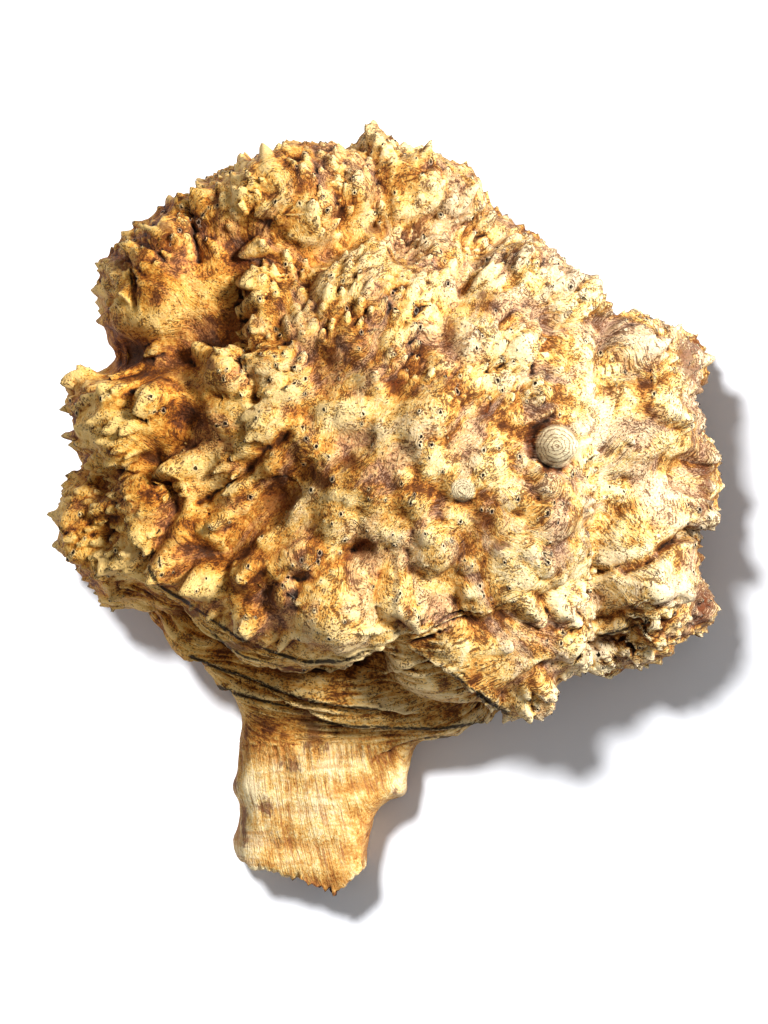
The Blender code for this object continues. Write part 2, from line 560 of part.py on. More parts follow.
def swell(surface):
    """Slow swelling of the wood everywhere, and folds that run down its sides from the crown."""
    crown = place(CROWN_PIXEL, 0.0)
    steep = smooth_step((RIB_STEEP[0] - surface.normals[:, 2]) / RIB_STEEP[1])
    on_stub = smooth_step((pixels_of(surface.points)[:, 1] - STUB_TOP_PIXEL + STUB_FADE) / STUB_FADE)
    for index, point in enumerate(surface.points):
        height = noise.fractal(Vector(point) / SWELL_LENGTH, 1.0, 2.0, 3) * SWELL_HEIGHT
        turn = math.atan2(point[1] - crown.y, point[0] - crown.x)
        around = Vector((math.cos(turn), math.sin(turn), point[2] / (RIBS * SWELL_LENGTH))) * RIBS / 3.0
        height += noise.noise(around) * 2.0 * RIB_HEIGHT * steep[index]
        surface.moves[index] += surface.normals[index] * height * (1.0 - STUB_CALM * on_stub[index])


def raise_bulges(surface):
    """The large bulges and hollows, each where the picture shows it."""
    for pixel, radius, height, lean in BULGES:
        point, normal = seen(surface.skin, pixel)
        surface.knob(point, normal, radius * MM, height * MM, lean, BULGE_TAIL, 1.0, 0.0, BULGE_FULL)
    for pixel, radius, depth in HOLLOWS:
        surface.knob(*seen(surface.skin, pixel), radius * MM, -depth * MM, 0.0, BULGE_TAIL, 1.0, 0.0)


def raise_spurs(surface):
    """The spurs, each where the picture shows its root and its tip."""
    for tip_pixel, root_pixel, half_width, height in SPURS:
        root, root_normal = seen(surface.skin, root_pixel)
        tip, normal = last_seen(surface.skin, root_pixel, tip_pixel)
        surface.spur(tip, root, (normal + root_normal).normalized(), half_width * MM, height * MM)


def is_bare(point, bulges):
    """Whether knobs keep clear of this point of the body."""
    if any((point - middle).length < clear for middle, clear in bulges):
        return True
    pixel = pixels_of(np.array([point]))
    _, distance, _ = gaps_to_line(pixel, CREASES["west_valley"][2])
    if any(within(pixel, patch)[0] for patch in SMOOTH_PATCHES) and point.z > SMOOTH_LOWEST:
        return True
    return bool(within(pixel, BARE_OUTLINE)[0]) or distance[0] * PIXEL < BARE_VALLEY


def knob_places(skin, size):
    """Points on the body, at least a gap apart, each with two drawn shares."""
    draw = random.Random(size["seed"])
    gap = size["gap"] * MM
    bulges = [(seen(skin, pixel)[0], min(radius * BARE_SHARE * MM, BARE_MOST))
              for pixel, radius, _, _ in BULGES]
    cells = {}
    found = []
    for _ in range(size["count"] * TRIES_A_KNOB):
        guess = Vector([draw.uniform(low, high) for low, high in DRAW_BOX])
        shares = (draw.random(), draw.random())
        point, normal, _, distance = skin.find_nearest(guess)
        if distance > DRAW_DEPTH or point.z < LOWEST_KNOB or (guess - point).dot(normal) < 0.0:
            continue
        key = tuple(int(math.floor(value / gap)) for value in point)
        around = [(key[0] + i, key[1] + j, key[2] + k) for i, j, k in product((-1, 0, 1), repeat=3)]
        if any((point - other).length < gap for cell in around for other in cells.get(cell, ())):
            continue
        if is_bare(point, bulges):
            continue
        cells.setdefault(key, []).append(point)
        found.append((point, shares))
        if len(found) == size["count"]:
            break
    return found


def between(pair, share):
    return pair[0] + (pair[1] - pair[0]) * share


def raise_knobs(surface, size, places):
    """Knobs of one size, each on the surface nearest to its place."""
    for place_on_body, shares in places:
        point, normal, _, _ = surface.skin.find_nearest(place_on_body)
        outward = float(smooth_step((point - place(CROWN_PIXEL, CROWN_HEIGHT)).length / RIM_REACH))
        radius = between(size["radius"], shares[0]) * MM
        height = between(size["height"], shares[1]) * MM * between(GAIN, outward)
        lean = between(LEAN, outward)
        surface.knob(point, normal, radius, height, lean, KNOB_TAIL, KNOB_FRONT, between(SHARPNESS, outward))


def break_stub(surface):
    """Pulls what reaches past the stub's broken ends back onto them."""
    for pixel, outward in BREAKS:
        on_break = np.array(place(pixel, STUB_HEIGHT * 0.5))
        direction = np.array((outward[0], outward[1], 0.0))
        direction /= np.linalg.norm(direction)
        past = (surface.points - on_break) @ direction
        near_stub = pixels_of(surface.points)[:, 1] > BREAK_TOP_PIXEL
        past = np.where(near_stub, np.maximum(past, 0.0), 0.0)
        surface.points -= np.outer(past, direction)


def shape(mesh, places):
    """Adds the whole relief to the body, from the largest forms to the smallest."""
    surface = Surface(mesh)
    break_stub(surface)
    swell(surface)
    press_creases(surface)
    surface.write()
    raise_bulges(surface)
    surface.write()
    for size, spots in zip(KNOB_SIZES, places):
        raise_knobs(surface, size, spots)
        surface.write()
    raise_spurs(surface)
    surface.write()


def saw_back(mesh):
    """Cuts the back off flat and closes the cut."""
    draft = bmesh.new()
    draft.from_mesh(mesh)
    everything = draft.verts[:] + draft.edges[:] + draft.faces[:]
    cut = bmesh.ops.bisect_plane(draft, geom=everything, plane_co=(0.0, 0.0, 0.0), plane_no=(0.0, 0.0, -1.0),
                                 dist=1e-6, clear_outer=True)
    edges = [item for item in cut["geom_cut"] if isinstance(item, bmesh.types.BMEdge)]
    bmesh.ops.triangle_fill(draft, use_beauty=True, use_dissolve=False, edges=edges, normal=(0.0, 0.0, -1.0))
    bmesh.ops.triangulate(draft, faces=draft.faces)
    bmesh.ops.recalc_face_normals(draft, faces=draft.faces)
    draft.to_mesh(mesh)
    draft.free()


def flatten_sawn_back(mesh):
    """Sets what lies within a hair of the saw cut exactly on it."""
    for vertex in mesh.vertices:
        if vertex.co.z < SAWN_FLAT:
            vertex.co.z = 0.0


def wood():
    material = bpy.data.materials.new("burl_wood")
    material.use_nodes = True
    shader = material.node_tree.nodes["Principled BSDF"]
    shader.inputs["Base Color"].default_value = WOOD_COLOUR
    shader.inputs["Roughness"].default_value = WOOD_ROUGHNESS
    shader.inputs["Metallic"].default_value = 0.0
    return material


def build_burl():
    body = body_mesh()
    skin = skin_of(body)
    places = [knob_places(skin, size) for size in KNOB_SIZES]
    mesh = finer(body, levels=1)
    shape(mesh, places)
    saw_back(mesh)
    full = linked("full", mesh)
    mesh.calc_loop_triangles()
    share = TRIANGLES / len(mesh.loop_triangles)
    add_modifier(full, "fewer", "DECIMATE", ratio=share, use_collapse_triangulate=True)
    burl = linked("burl", applied(full))
    burl.data.name = "burl"
    flatten_sawn_back(burl.data)
    burl.data.materials.append(wood())
    burl.data.shade_smooth()


clear_scene()
build_burl()
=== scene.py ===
"""The looks of a debarked tree burl: one finely carved piece of wood, a pale floor, light and the camera.

The burl grew as one piece, so one piece stands for it. Its body, creases, folds, bulges and knobs are those
of the solid, on a finer mesh, and fingers, eyes, fibres and torn ends come on top of them.

Places are given as pixels of the reference picture, which looks straight down on the burl and is 768 by
1024 pixels. Sizes are millimetres unless a name says otherwise.
"""

import math
import random

import bmesh
import bpy
import numpy as np
from bpy.props import FloatProperty, FloatVectorProperty, IntProperty, PointerProperty
from mathutils import Euler, Matrix, Vector, kdtree, noise
from mathutils.bvhtree import BVHTree


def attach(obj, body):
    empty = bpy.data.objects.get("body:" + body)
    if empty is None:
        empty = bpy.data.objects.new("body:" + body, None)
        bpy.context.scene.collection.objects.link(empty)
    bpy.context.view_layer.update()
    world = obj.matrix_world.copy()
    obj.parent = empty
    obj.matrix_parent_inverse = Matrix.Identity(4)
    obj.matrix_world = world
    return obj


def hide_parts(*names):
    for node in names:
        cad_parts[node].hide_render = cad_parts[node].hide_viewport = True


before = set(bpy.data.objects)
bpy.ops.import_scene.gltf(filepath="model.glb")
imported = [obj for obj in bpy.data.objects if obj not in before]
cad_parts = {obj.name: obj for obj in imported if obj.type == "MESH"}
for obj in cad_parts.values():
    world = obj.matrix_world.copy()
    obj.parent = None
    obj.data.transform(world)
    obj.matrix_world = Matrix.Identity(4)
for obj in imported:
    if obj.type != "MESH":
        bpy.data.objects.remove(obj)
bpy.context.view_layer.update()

bl_info = {
    "name": "Tree Burl",
    "version": (1, 0, 0),
    "blender": (4, 5, 0),
    "location": "View3D > Sidebar > Tree Burl",
    "description": "Makes a debarked tree burl with the stub of its trunk, its floor, light and camera",
    "category": "Add Mesh",
}

MM = 0.001

# The lights, in metres: where each hangs and how wide it is. Both aim at this height over the table
KEY_PLACE = (1.52, 0.88, 1.84)
KEY_WIDTH = 0.7
SHADOW_PLACE = (-0.55, 0.75, 1.9)
SHADOW_WIDTH = 0.35
AIM_HEIGHT = 0.08
SENSOR_WIDTH = 36.0

# The reference picture: one pixel is this long at the height of the burl's rim
PICTURE_SIZE = (768.0, 1024.0)
PIXEL = 0.6 * MM
PICTURE_MIDDLE = (382.0, 510.0)
RIM_HEIGHT = 70 * MM
EYE_HEIGHT = 2200 * MM

# The crown, which knobs and folds lean away from
CROWN_PIXEL = (395.0, 430.0)
CROWN_HEIGHT = 180 * MM

# The body's mesh before its relief
VOXEL = 4.0 * MM
DRAW_BOX = ((-240 * MM, 240 * MM), (-270 * MM, 270 * MM), (-20 * MM, 230 * MM))
BLEND_ROUNDS = 7
SAWN_DEPTH = -14 * MM

# Each lobe: middle in the picture, height of its middle, half sizes in X, Y and Z, turn about Z in degrees
LOBES = {
    "heart": ((385, 425), 50, (150, 144, 82), 0),
    "heart_north_west": ((262, 306), 54, (94, 86, 80), 0),
    "crown": ((408, 430), 96, (112, 122, 84), 0),
    "crown_west": ((290, 430), 92, (66, 96, 72), 0),
    "crown_low": ((318, 572), 100, (86, 52, 62), -8),
    "crown_east": ((500, 440), 96, (66, 108, 74), 0),
    "south_east": ((486, 622), 84, (68, 48, 50), 12),
    "south_corner": ((528, 686), 72, (26, 22, 26), 0),
    "east": ((636, 558), 68, (45, 56, 50), 0),
    "east_tip": ((682, 520), 66, (20, 18, 26), 0),
    "north_east": ((616, 400), 82, (49, 58, 54), 0),
    "east_bud": ((690, 366), 46, (20, 25, 22), 0),
    "far_east_rim": ((682, 480), 46, (21, 46, 30), 0),
    "far_east_bud": ((692, 608), 34, (18, 18, 20), 0),
    "east_low_rim": ((622, 642), 46, (48, 24, 32), 8),
    "north_band": ((542, 308), 90, (46, 36, 54), -28),
    "north_band_rim": ((550, 292), 60, (34, 18, 34), -30),
    "north_grey": ((418, 214), 76, (46, 40, 52), -38),
    "north_peak": ((378, 154), 62, (17, 17, 26), 0),
    "north_west": ((294, 212), 88, (58, 37, 56), 8),
    "north_rim": ((312, 174), 62, (52, 16, 34), 0),
    "west_upper": ((166, 290), 78, (45, 52, 54), -20),
    "west_rim": ((216, 222), 68, (33, 25, 42), 25),
    "west_middle": ((168, 414), 86, (62, 42, 54), 12),
    "west_tip": ((90, 392), 72, (18, 18, 24), 0),
    "west_low": ((110, 544), 66, (42, 43, 44), 0),
    "west_low_tip": ((68, 516), 66, (14, 18, 20), 0),
    "west_inner": ((190, 520), 84, (50, 52, 56), 0),
    "collar_high": ((300, 630), 46, (86, 42, 36), -10),
    "collar_west": ((212, 622), 50, (32, 32, 34), 0),
    "collar_low": ((345, 680), 42, (82, 34, 34), -4),
    "collar_east": ((424, 704), 40, (46, 24, 28), -2),
}

# What the picture shows of the whole outline, without its teeth, clockwise from the top left
OUTLINE = (
    (262, 152), (300, 146), (350, 148), (362, 130), (376, 123), (402, 128), (428, 142), (455, 170),
    (482, 195), (500, 222), (520, 240), (560, 260), (590, 266), (603, 285), (620, 312), (650, 326),
    (678, 330), (700, 345), (711, 375), (698, 400), (708, 425), (715, 450), (716, 490), (706, 530),
    (703, 570), (716, 605), (712, 628), (680, 640), (655, 664), (618, 678), (562, 674), (545, 708),
    (510, 716), (470, 727), (452, 738), (415, 745), (408, 770), (411, 785), (403, 797), (390, 795),
    (380, 805), (367, 850), (363, 868), (335, 897), (300, 883), (255, 872), (235, 852), (233, 835),
    (243, 797), (234, 788), (237, 765), (243, 720), (215, 690), (199, 675), (176, 645), (158, 620),
    (140, 607), (112, 602), (100, 585), (78, 568), (60, 550), (50, 522), (62, 500), (76, 478), (82, 456),
    (74, 430), (68, 400), (70, 380), (94, 355), (98, 335), (96, 300), (105, 270), (128, 250), (154, 230),
    (174, 203), (204, 185), (240, 168),
)
# Room inside the outline for knobs, over how many pixels it ends at the stub, and how firmly the outline
# holds
KNOB_ROOM = 9.0
ROOM_FADE = 30.0
OUTLINE_HOLD = 0.8

# Outline of the trunk's stub in the picture, its height over the table and the crown of its outer face, the
# share of its height where it starts to narrow, and how wide it still is at the top
STUB_OUTLINE = (
    (214, 668), (242, 722), (239, 746), (236, 768), (232, 790), (243, 797), (239, 818), (233, 840),
    (232, 866), (256, 888), (300, 902), (338, 912), (380, 880), (367, 850), (369, 834), (378, 808),
    (388, 796), (404, 797), (411, 784), (408, 768), (414, 748), (452, 722), (470, 668),
)
STUB_HEIGHT = 46 * MM
STUB_CROWN = 10 * MM
STUB_EDGE = 0.72
STUB_TOP_SHARE = 0.86

# The stub's two broken ends: a point in the picture that each passes through, and its outward direction there
BREAKS = (((285, 876), (-0.36, -0.93)), ((350, 882), (0.68, -0.73)))

# Creases: depth and half width in mm, and the line that each follows in the picture
CREASES = {
    "crown_valley": (7, 12, ((474, 256), (454, 300), (430, 344), (398, 386), (360, 424), (318, 468),
                             (280, 500), (244, 530), (212, 556))),
    "crown_east_valley": (4, 9, ((548, 318), (538, 360), (524, 404), (528, 448), (530, 490), (500, 528),
                                 (470, 560), (448, 600))),
    "west_valley": (7, 13, ((268, 198), (246, 240), (234, 285), (218, 326), (186, 346), (146, 358),
                            (104, 372))),
    "west_crease": (5, 4, ((240, 285), (241, 330), (245, 366), (252, 398))),
    "west_fold": (8, 6, ((84, 456), (122, 466), (156, 462), (170, 486), (172, 508), (158, 536),
                         (151, 556))),
    "slant_fold": (6, 4, ((200, 500), (232, 482), (258, 454), (286, 436))),
    "north_gap": (7, 7, ((588, 320), (604, 322), (644, 312))),
    "grey_gap": (8, 8, ((398, 232), (440, 214), (474, 226), (488, 262), (460, 284))),
    "east_fold": (6, 4, ((596, 574), (640, 558), (678, 540), (712, 518))),
    "east_low_fold": (6, 4, ((602, 620), (640, 610), (672, 594))),
    "rim_fold": (7, 5, ((588, 652), (622, 641), (652, 624), (692, 600))),
    "corner_fold": (5, 3, ((498, 699), (520, 683), (545, 668), (564, 660))),
    "finger_fold": (5, 4, ((262, 596), (292, 580), (330, 562), (366, 548))),
    "nodule_crease": (5, 3, ((552, 416), (538, 426), (532, 442), (537, 458), (548, 467), (562, 470),
                             (574, 462))),
    "rim_crease": (4, 2, ((130, 262), (132, 290), (134, 308))),
    "north_west_crease": (4, 2, ((203, 184), (196, 205), (194, 225), (198, 258))),
    "east_lobe_crease": (5, 3, ((706, 524), (680, 540), (654, 556), (620, 572))),
    "east_low_crease": (4, 3, ((656, 620), (640, 624), (610, 632))),
}

# Folds: how far one side stands over the other and how far back it swells, in mm, and the line between
# them, drawn with the standing side on its left
FOLDS = {
    "under_crown": (12, 16, ((142, 548), (158, 585), (188, 603), (215, 622), (240, 639), (272, 652),
                             (306, 662), (345, 659), (372, 646), (398, 628), (432, 621))),
    "east_crest": (6, 18, ((592, 654), (580, 640), (583, 600), (588, 560), (584, 520), (586, 490),
                           (600, 450))),
    "corner_slit": (9, 10, ((424, 656), (448, 670), (476, 692), (508, 715))),
    "second": (5, 6, ((205, 625), (225, 645), (245, 657), (270, 663), (300, 671), (330, 673), (370, 660),
                      (406, 642), (440, 630))),
    "third": (10, 8, ((190, 656), (215, 667), (240, 675), (270, 688), (300, 698), (330, 705), (370, 708),
                      (402, 711))),
    "fourth": (7, 6, ((198, 679), (235, 693), (260, 700), (300, 709), (330, 714))),
    "fifth": (9, 8, ((288, 704), (310, 716), (325, 722), (345, 726), (400, 728), (440, 729), (484, 722))),
    "lowest": (4, 6, ((390, 750), (408, 742), (430, 737), (456, 737))),
    "swirl_high": (4, 6, ((344, 668), (372, 652), (400, 632), (436, 614), (470, 606))),
    "swirl_low": (4, 7, ((392, 672), (430, 662), (460, 674), (500, 702))),
}
# How wide a fold's step is, the share of its height that lies below the old surface, and the hollow's reach
FOLD_DROP = 1.2 * MM
FOLD_CUT = 0.7
FOLD_HOLLOW = 0.5
# Which slopes face the picture: the normal's least height, and how far above that it counts in full
FACING = (-0.35, 0.5)
# Painted shadow at the bottom of folds and creases, a black line where one side overhangs: how far it reaches,
# in mm, and the line that it follows
SEAMS = (
    (1.7, ((148, 566), (158, 585), (188, 603), (215, 622), (240, 639), (272, 652), (306, 662), (345, 661),
           (366, 652))),
    (1.2, ((205, 625), (225, 645), (245, 657), (270, 663), (300, 671), (322, 672))),
    (1.9, ((190, 656), (215, 667), (240, 675), (270, 688), (300, 698), (318, 703))),
    (1.2, ((318, 703), (345, 707), (380, 710))),
    (2.0, ((198, 679), (216, 686), (235, 693), (256, 699))),
    (1.2, ((256, 699), (300, 709))),
    (1.6, ((312, 717), (325, 722), (345, 726), (400, 728), (440, 729), (484, 722))),
    (1.0, ((408, 742), (430, 737), (456, 737))),
    (1.1, ((440, 665), (460, 680), (476, 692))),
    (2.2, ((478, 694), (508, 714))),
    (0.9, ((455, 668), (497, 697))),
    (0.9, ((380, 640), (410, 626), (440, 612))),
    (1.3, ((240, 290), (241, 330), (245, 366), (250, 390))),
    (1.2, ((151, 556), (156, 536), (168, 512), (170, 490))),
    (1.2, ((212, 494), (232, 482), (254, 458))),
    (1.0, ((604, 571), (640, 558), (678, 540), (708, 521))),
    (1.1, ((600, 636), (622, 630), (652, 621))),
    (1.0, ((130, 264), (132, 290), (134, 306))),
    (1.0, ((200, 190), (196, 206), (194, 225), (197, 246))),
    (1.5, ((548, 420), (538, 428), (533, 442), (538, 457), (548, 466), (562, 469))),
)

# Large bulges and hollows that the picture shows: pixel, radius and height in mm, and lean
BULGES = (
    ((334, 613), 31, 15, 0.2), ((558, 445), 14, 13, 0.3), ((515, 586), 19, 9, 0.3), ((552, 522), 17, 8, 0.4),
    ((438, 412), 18, 6, 0.0), ((356, 418), 15, 5, 0.0), ((374, 284), 23, 9, 0.2), ((314, 212), 17, 8, 0.4),
    ((272, 182), 17, 9, 0.5), ((358, 186), 15, 9, 0.4), ((482, 344), 19, 9, 0.2), ((521, 348), 14, 8, 0.3),
    ((268, 298), 18, 9, 0.4), ((280, 364), 17, 6, 0.3), ((190, 470), 14, 9, 0.6), ((206, 584), 13, 11, 0.6),
    ((166, 570), 12, 9, 0.6), ((130, 560), 16, 8, 0.5), ((248, 622), 13, 9, 0.6), ((218, 528), 13, 7, 0.6),
    ((246, 572), 12, 6, 0.5), ((334, 526), 15, 6, 0.2), ((463, 488), 9, 6, 0.2), ((440, 553), 16, 8, 0.3),
    ((616, 494), 11, 6, 0.5), ((640, 350), 20, 8, 0.4), ((610, 366), 15, 5, 0.4), ((664, 400), 14, 7, 0.6),
    ((650, 582), 20, 8, 0.6), ((698, 516), 13, 9, 0.8), ((600, 650), 10, 6, 0.5), ((640, 650), 10, 6, 0.6),
    ((540, 700), 14, 7, 0.6), ((572, 640), 12, 7, 0.7), ((560, 606), 12, 6, 0.5), ((152, 398), 14, 8, 0.6),
    ((112, 396), 10, 7, 0.7), ((222, 370), 14, 7, 0.3), ((76, 520), 12, 7, 0.7), ((108, 512), 14, 6, 0.5),
    ((414, 606), 12, 6, 0.6), ((377, 146), 12, 8, 0.3), ((422, 160), 9, 6, 0.4), ((206, 206), 13, 7, 0.5),
    ((172, 236), 13, 7, 0.5), ((122, 276), 12, 6, 0.6), ((440, 250), 14, 6, 0.3), ((524, 262), 14, 7, 0.5),
    ((588, 300), 13, 7, 0.6), ((548, 268), 12, 7, 0.6), ((690, 360), 12, 6, 0.4), ((696, 608), 11, 6, 0.4),
    ((328, 470), 11, 4, 0.1), ((418, 502), 10, 4, 0.1), ((404, 478), 7, 3, 0.1), ((545, 562), 13, 6, 0.4),
    ((490, 458), 11, 5, 0.1), ((352, 340), 14, 5, 0.1), ((424, 332), 14, 6, 0.2), ((404, 302), 13, 5, 0.2),
    ((332, 282), 13, 6, 0.3), ((304, 334), 12, 5, 0.3), ((396, 346), 11, 4, 0.1), ((446, 290), 12, 6, 0.3),
    ((502, 384), 11, 5, 0.2), ((540, 392), 10, 5, 0.3), ((480, 604), 13, 6, 0.4), ((396, 600), 15, 8, 0.4),
    ((300, 560), 12, 6, 0.3), ((286, 592), 11, 6, 0.4), ((396, 535), 10, 4, 0.1), ((545, 482), 10, 5, 0.2),
    ((518, 498), 10, 4, 0.2), ((262, 424), 13, 5, 0.3), ((304, 440), 12, 4, 0.1), ((470, 560), 10, 4, 0.2),
    ((374, 500), 10, 4, 0.1), ((430, 450), 10, 3, 0.0), ((222, 420), 14, 6, 0.4), ((300, 392), 11, 4, 0.2),
)
HOLLOWS = (
    ((278, 500), 18, 6), ((378, 228), 9, 3), ((362, 546), 14, 2), ((488, 524), 9, 2), ((392, 384), 8, 2),
)

# Spurs that the picture shows, each rising from its root to its tip and ending steeply: pixels of tip and
# root, half width and height in mm
SPURS = (
    ((112, 378), (158, 350), 5, 5), ((114, 393), (165, 366), 5, 5), ((88, 402), (116, 388), 5, 4),
    ((141, 412), (182, 378), 9, 7), ((124, 430), (150, 418), 6, 5), ((106, 432), (126, 418), 5, 4),
    ((92, 424), (108, 410), 4, 4), ((74, 436), (100, 428), 6, 5), ((66, 410), (90, 402), 5, 5),
    ((70, 386), (96, 374), 8, 6), ((168, 474), (240, 442), 11, 9), ((199, 354), (238, 370), 11, 8),
    ((152, 578), (192, 530), 11, 7), ((188, 590), (222, 556), 12, 6), ((212, 526), (250, 500), 8, 6),
    ((240, 580), (272, 540), 8, 4), ((104, 566), (142, 548), 9, 6), ((54, 520), (88, 498), 8, 6),
    ((60, 546), (90, 532), 8, 5), ((97, 512), (120, 500), 6, 5), ((244, 630), (268, 604), 9, 4),
    ((282, 645), (294, 626), 5, 3), ((298, 604), (306, 594), 4, 3), ((148, 352), (172, 338), 5, 4),
    ((97, 292), (122, 286), 7, 5), ((95, 322), (120, 318), 7, 5), ((105, 268), (128, 268), 7, 5),
    ((128, 248), (150, 257), 7, 6), ((150, 232), (168, 246), 6, 6), ((170, 206), (186, 224), 7, 6),
    ((205, 186), (214, 208), 7, 6), ((244, 162), (253, 184), 7, 7), ((264, 152), (278, 174), 8, 6),
    ((247, 252), (284, 236), 8, 6), ((244, 282), (286, 270), 8, 6), ((241, 313), (280, 298), 8, 6),
    ((246, 338), (286, 322), 8, 6), ((246, 366), (280, 352), 7, 5), ((262, 214), (300, 196), 8, 5),
    ((306, 162), (312, 190), 6, 5), ((333, 162), (334, 188), 7, 5), ((358, 176), (356, 206), 9, 6),
    ((374, 130), (386, 162), 8, 7), ((402, 132), (404, 154), 7, 5), ((427, 142), (426, 164), 5, 7),
    ((470, 190), (458, 210), 7, 5), ((490, 216), (476, 234), 7, 5), ((498, 262), (484, 286), 6, 4),
    ((530, 252), (512, 276), 6, 5), ((552, 264), (536, 288), 6, 5), ((574, 274), (556, 298), 6, 5),
    ((594, 278), (576, 302), 6, 5), ((610, 300), (590, 318), 7, 5), ((640, 314), (612, 332), 8, 5),
    ((662, 344), (636, 354), 8, 5), ((684, 420), (646, 400), 11, 6), ((706, 454), (662, 436), 12, 7),
    ((710, 488), (690, 478), 6, 5), ((706, 521), (640, 492), 17, 9), ((684, 590), (628, 566), 15, 8),
    ((668, 610), (606, 600), 9, 6), ((654, 620), (600, 628), 8, 5), ((630, 650), (594, 644), 7, 6),
    ((664, 638), (636, 632), 6, 5), ((586, 657), (556, 640), 8, 7), ((577, 622), (545, 604), 9, 6),
    ((548, 692), (518, 664), 10, 6), ((528, 712), (508, 690), 8, 6), ((698, 392), (676, 380), 7, 5),
    ((704, 360), (684, 352), 8, 6), ((698, 560), (676, 548), 6, 4), ((632, 442), (622, 430), 4, 3),
    ((508, 648), (470, 640), 8, 4), ((415, 625), (398, 605), 7, 6), ((392, 645), (372, 636), 4, 3),
    ((540, 618), (512, 598), 10, 6), ((496, 700), (470, 672), 7, 5),
)
# A spur's width at its root and tip, how steeply it ends, its lean, and how far round a corner it reaches
SPUR_WIDTHS = (1.25, 0.6)
SPUR_FRONT = 0.35
SPUR_LEAN = 0.55
SPUR_REACH = 0.8

# Knobs that a seeded draw spreads over the outside: how many, least gap, radius and height in mm
KNOB_SIZES = (
    {"seed": 11, "count": 520, "gap": 20.0, "radius": (9.0, 14.0), "height": (2.2, 4.6)},
    {"seed": 23, "count": 420, "gap": 14.0, "radius": (5.0, 8.0), "height": (1.2, 2.6)},
)
# Tries for each knob, how deep in the body a try may start, and how low a knob may stand
TRIES_A_KNOB = 40
DRAW_DEPTH = 30 * MM
LOWEST_KNOB = 4 * MM
# A knob's slope towards the crown and away from it, how uneven its foot is, and how far round a corner it
# reaches
KNOB_TAIL = 1.9
KNOB_FRONT = 0.8
KNOB_RAGGED = 0.1
KNOB_REACH = 0.5
BULGE_TAIL = 1.25
# How full a dome is: 2 is a bell, 1 has steep sides
BULGE_FULL = 1.25

# Knobs are rounded and upright at the crown, and pointed, higher and leaning towards the rim
RIM_REACH = 190 * MM
SHARPNESS = (0.2, 0.75)
LEAN = (0.3, 0.9)
GAIN = (0.55, 1.3)
LEVEL_LEAN = 0.35
# How far fibres bend round a knob, as a share of going all the way round it
GRAIN_BEND = 0.85

# Wood without knobs: the collar and stub, the bottom of the valley, and the middle of each large bulge
BARE_OUTLINE = (
    (120, 590), (150, 572), (188, 603), (240, 639), (306, 662), (372, 646), (432, 621), (448, 655),
    (476, 692), (508, 715), (540, 760), (540, 1000), (100, 1000), (100, 650),
)
# Smooth wood that only spurs stand on
SMOOTH_PATCHES = (
    ((160, 262), (200, 250), (245, 215), (258, 235), (240, 262), (236, 330), (196, 338), (150, 345),
     (110, 372), (85, 372), (100, 335), (120, 300)),
    ((594, 470), (600, 336), (650, 336), (666, 360), (688, 410), (698, 460), (698, 520), (686, 560),
     (678, 600), (650, 616), (594, 650)),
    ((430, 620), (480, 600), (572, 620), (560, 690), (500, 700), (440, 660)),
    ((90, 380), (150, 345), (240, 360), (245, 440), (170, 465), (110, 450), (80, 420)),
    ((150, 500), (230, 500), (262, 540), (280, 600), (300, 640), (240, 636), (190, 604), (150, 580)),
)
# Smooth patches reach down to this height, the valley is bare this far from its bottom, and a bulge over this
# share of its radius, but no farther than the last
SMOOTH_LOWEST = 45 * MM
BARE_VALLEY = 9 * MM
BARE_SHARE = 0.85
BARE_MOST = 15 * MM
# Rows of the picture below which the stub and its broken end begin
STUB_TOP_PIXEL = 700
BREAK_TOP_PIXEL = 800

# Slow swelling of the wood between the knobs
SWELL_LENGTH = 46 * MM
SWELL_HEIGHT = 8.0 * MM

# Folds that run down from the crown over the sides: how many in a turn, and their height
RIBS = 11.0
RIB_HEIGHT = 4.0 * MM
# Ribs start where the wood is this steep. Swelling fades by this share over this many pixels onto the stub
RIB_STEEP = (0.9, 0.6)
STUB_CALM = 0.8
STUB_FADE = 60.0

# What is lower than this lies on the saw cut
SAWN_FLAT = 0.4 * MM

# Fingers, the small spurs that only this finer mesh can hold: half width, height, length and gap in mm. They
# stand in patches, with smooth wood between the patches
FINGERS = {"seed": 37, "gap": 8.0, "half_width": (3.2, 5.8), "height": (1.5, 3.2), "length": (9.0, 16.0)}
FINGER_PATCH = 30.0
# How ragged a patch's edge is, in the noise that makes the patches
PATCH_EDGE = 0.15
# The way that fingers lie on top of the crown, and how far out from the crown's middle they turn from it
CROWN_AXIS = (0.6, 0.8, 0.0)
AXIS_REACH = 110 * MM
AXIS_SHARE = 1.6
AXIS_FADE = 1.5
# The crown's lower part, where low domes stand in calm wood
CALM_OUTLINE = (
    (262, 400), (330, 375), (400, 372), (460, 400), (560, 400), (586, 420), (592, 560), (575, 640),
    (430, 640), (330, 668), (250, 640), (225, 560), (240, 470),
)
CALM_LOWEST = 100 * MM
# Fingers may stand nearer to the valley's bottom than knobs, by this share
VALLEY_SHARE = 0.8
# Eyes, the ends of buds that never grew out: radius, height and least gap in mm, and how many in a cluster
EYES = {"seed": 41, "radius": (1.2, 2.4), "height": (0.6, 1.4), "gap": 4.8, "cluster": (2, 6)}
# Which share of the fingers, of the bulges from this radius in mm up and of the drawn knobs has eyes
EYES_ON_FINGERS = 0.4
WIDE_BULGE = 20
EYES_ON_WIDE_BULGES = 0.5
EYES_ON_KNOBS = 0.35
# How far its eyes lie from a bulge's top, as a share of its radius, and from a knob's top, and their scatter
BULGE_EYE_REACH = 0.5
KNOB_EYE_REACH = 6.0 * MM
KNOB_CLUSTER = (1, 2)
EYE_SCATTER = 0.6
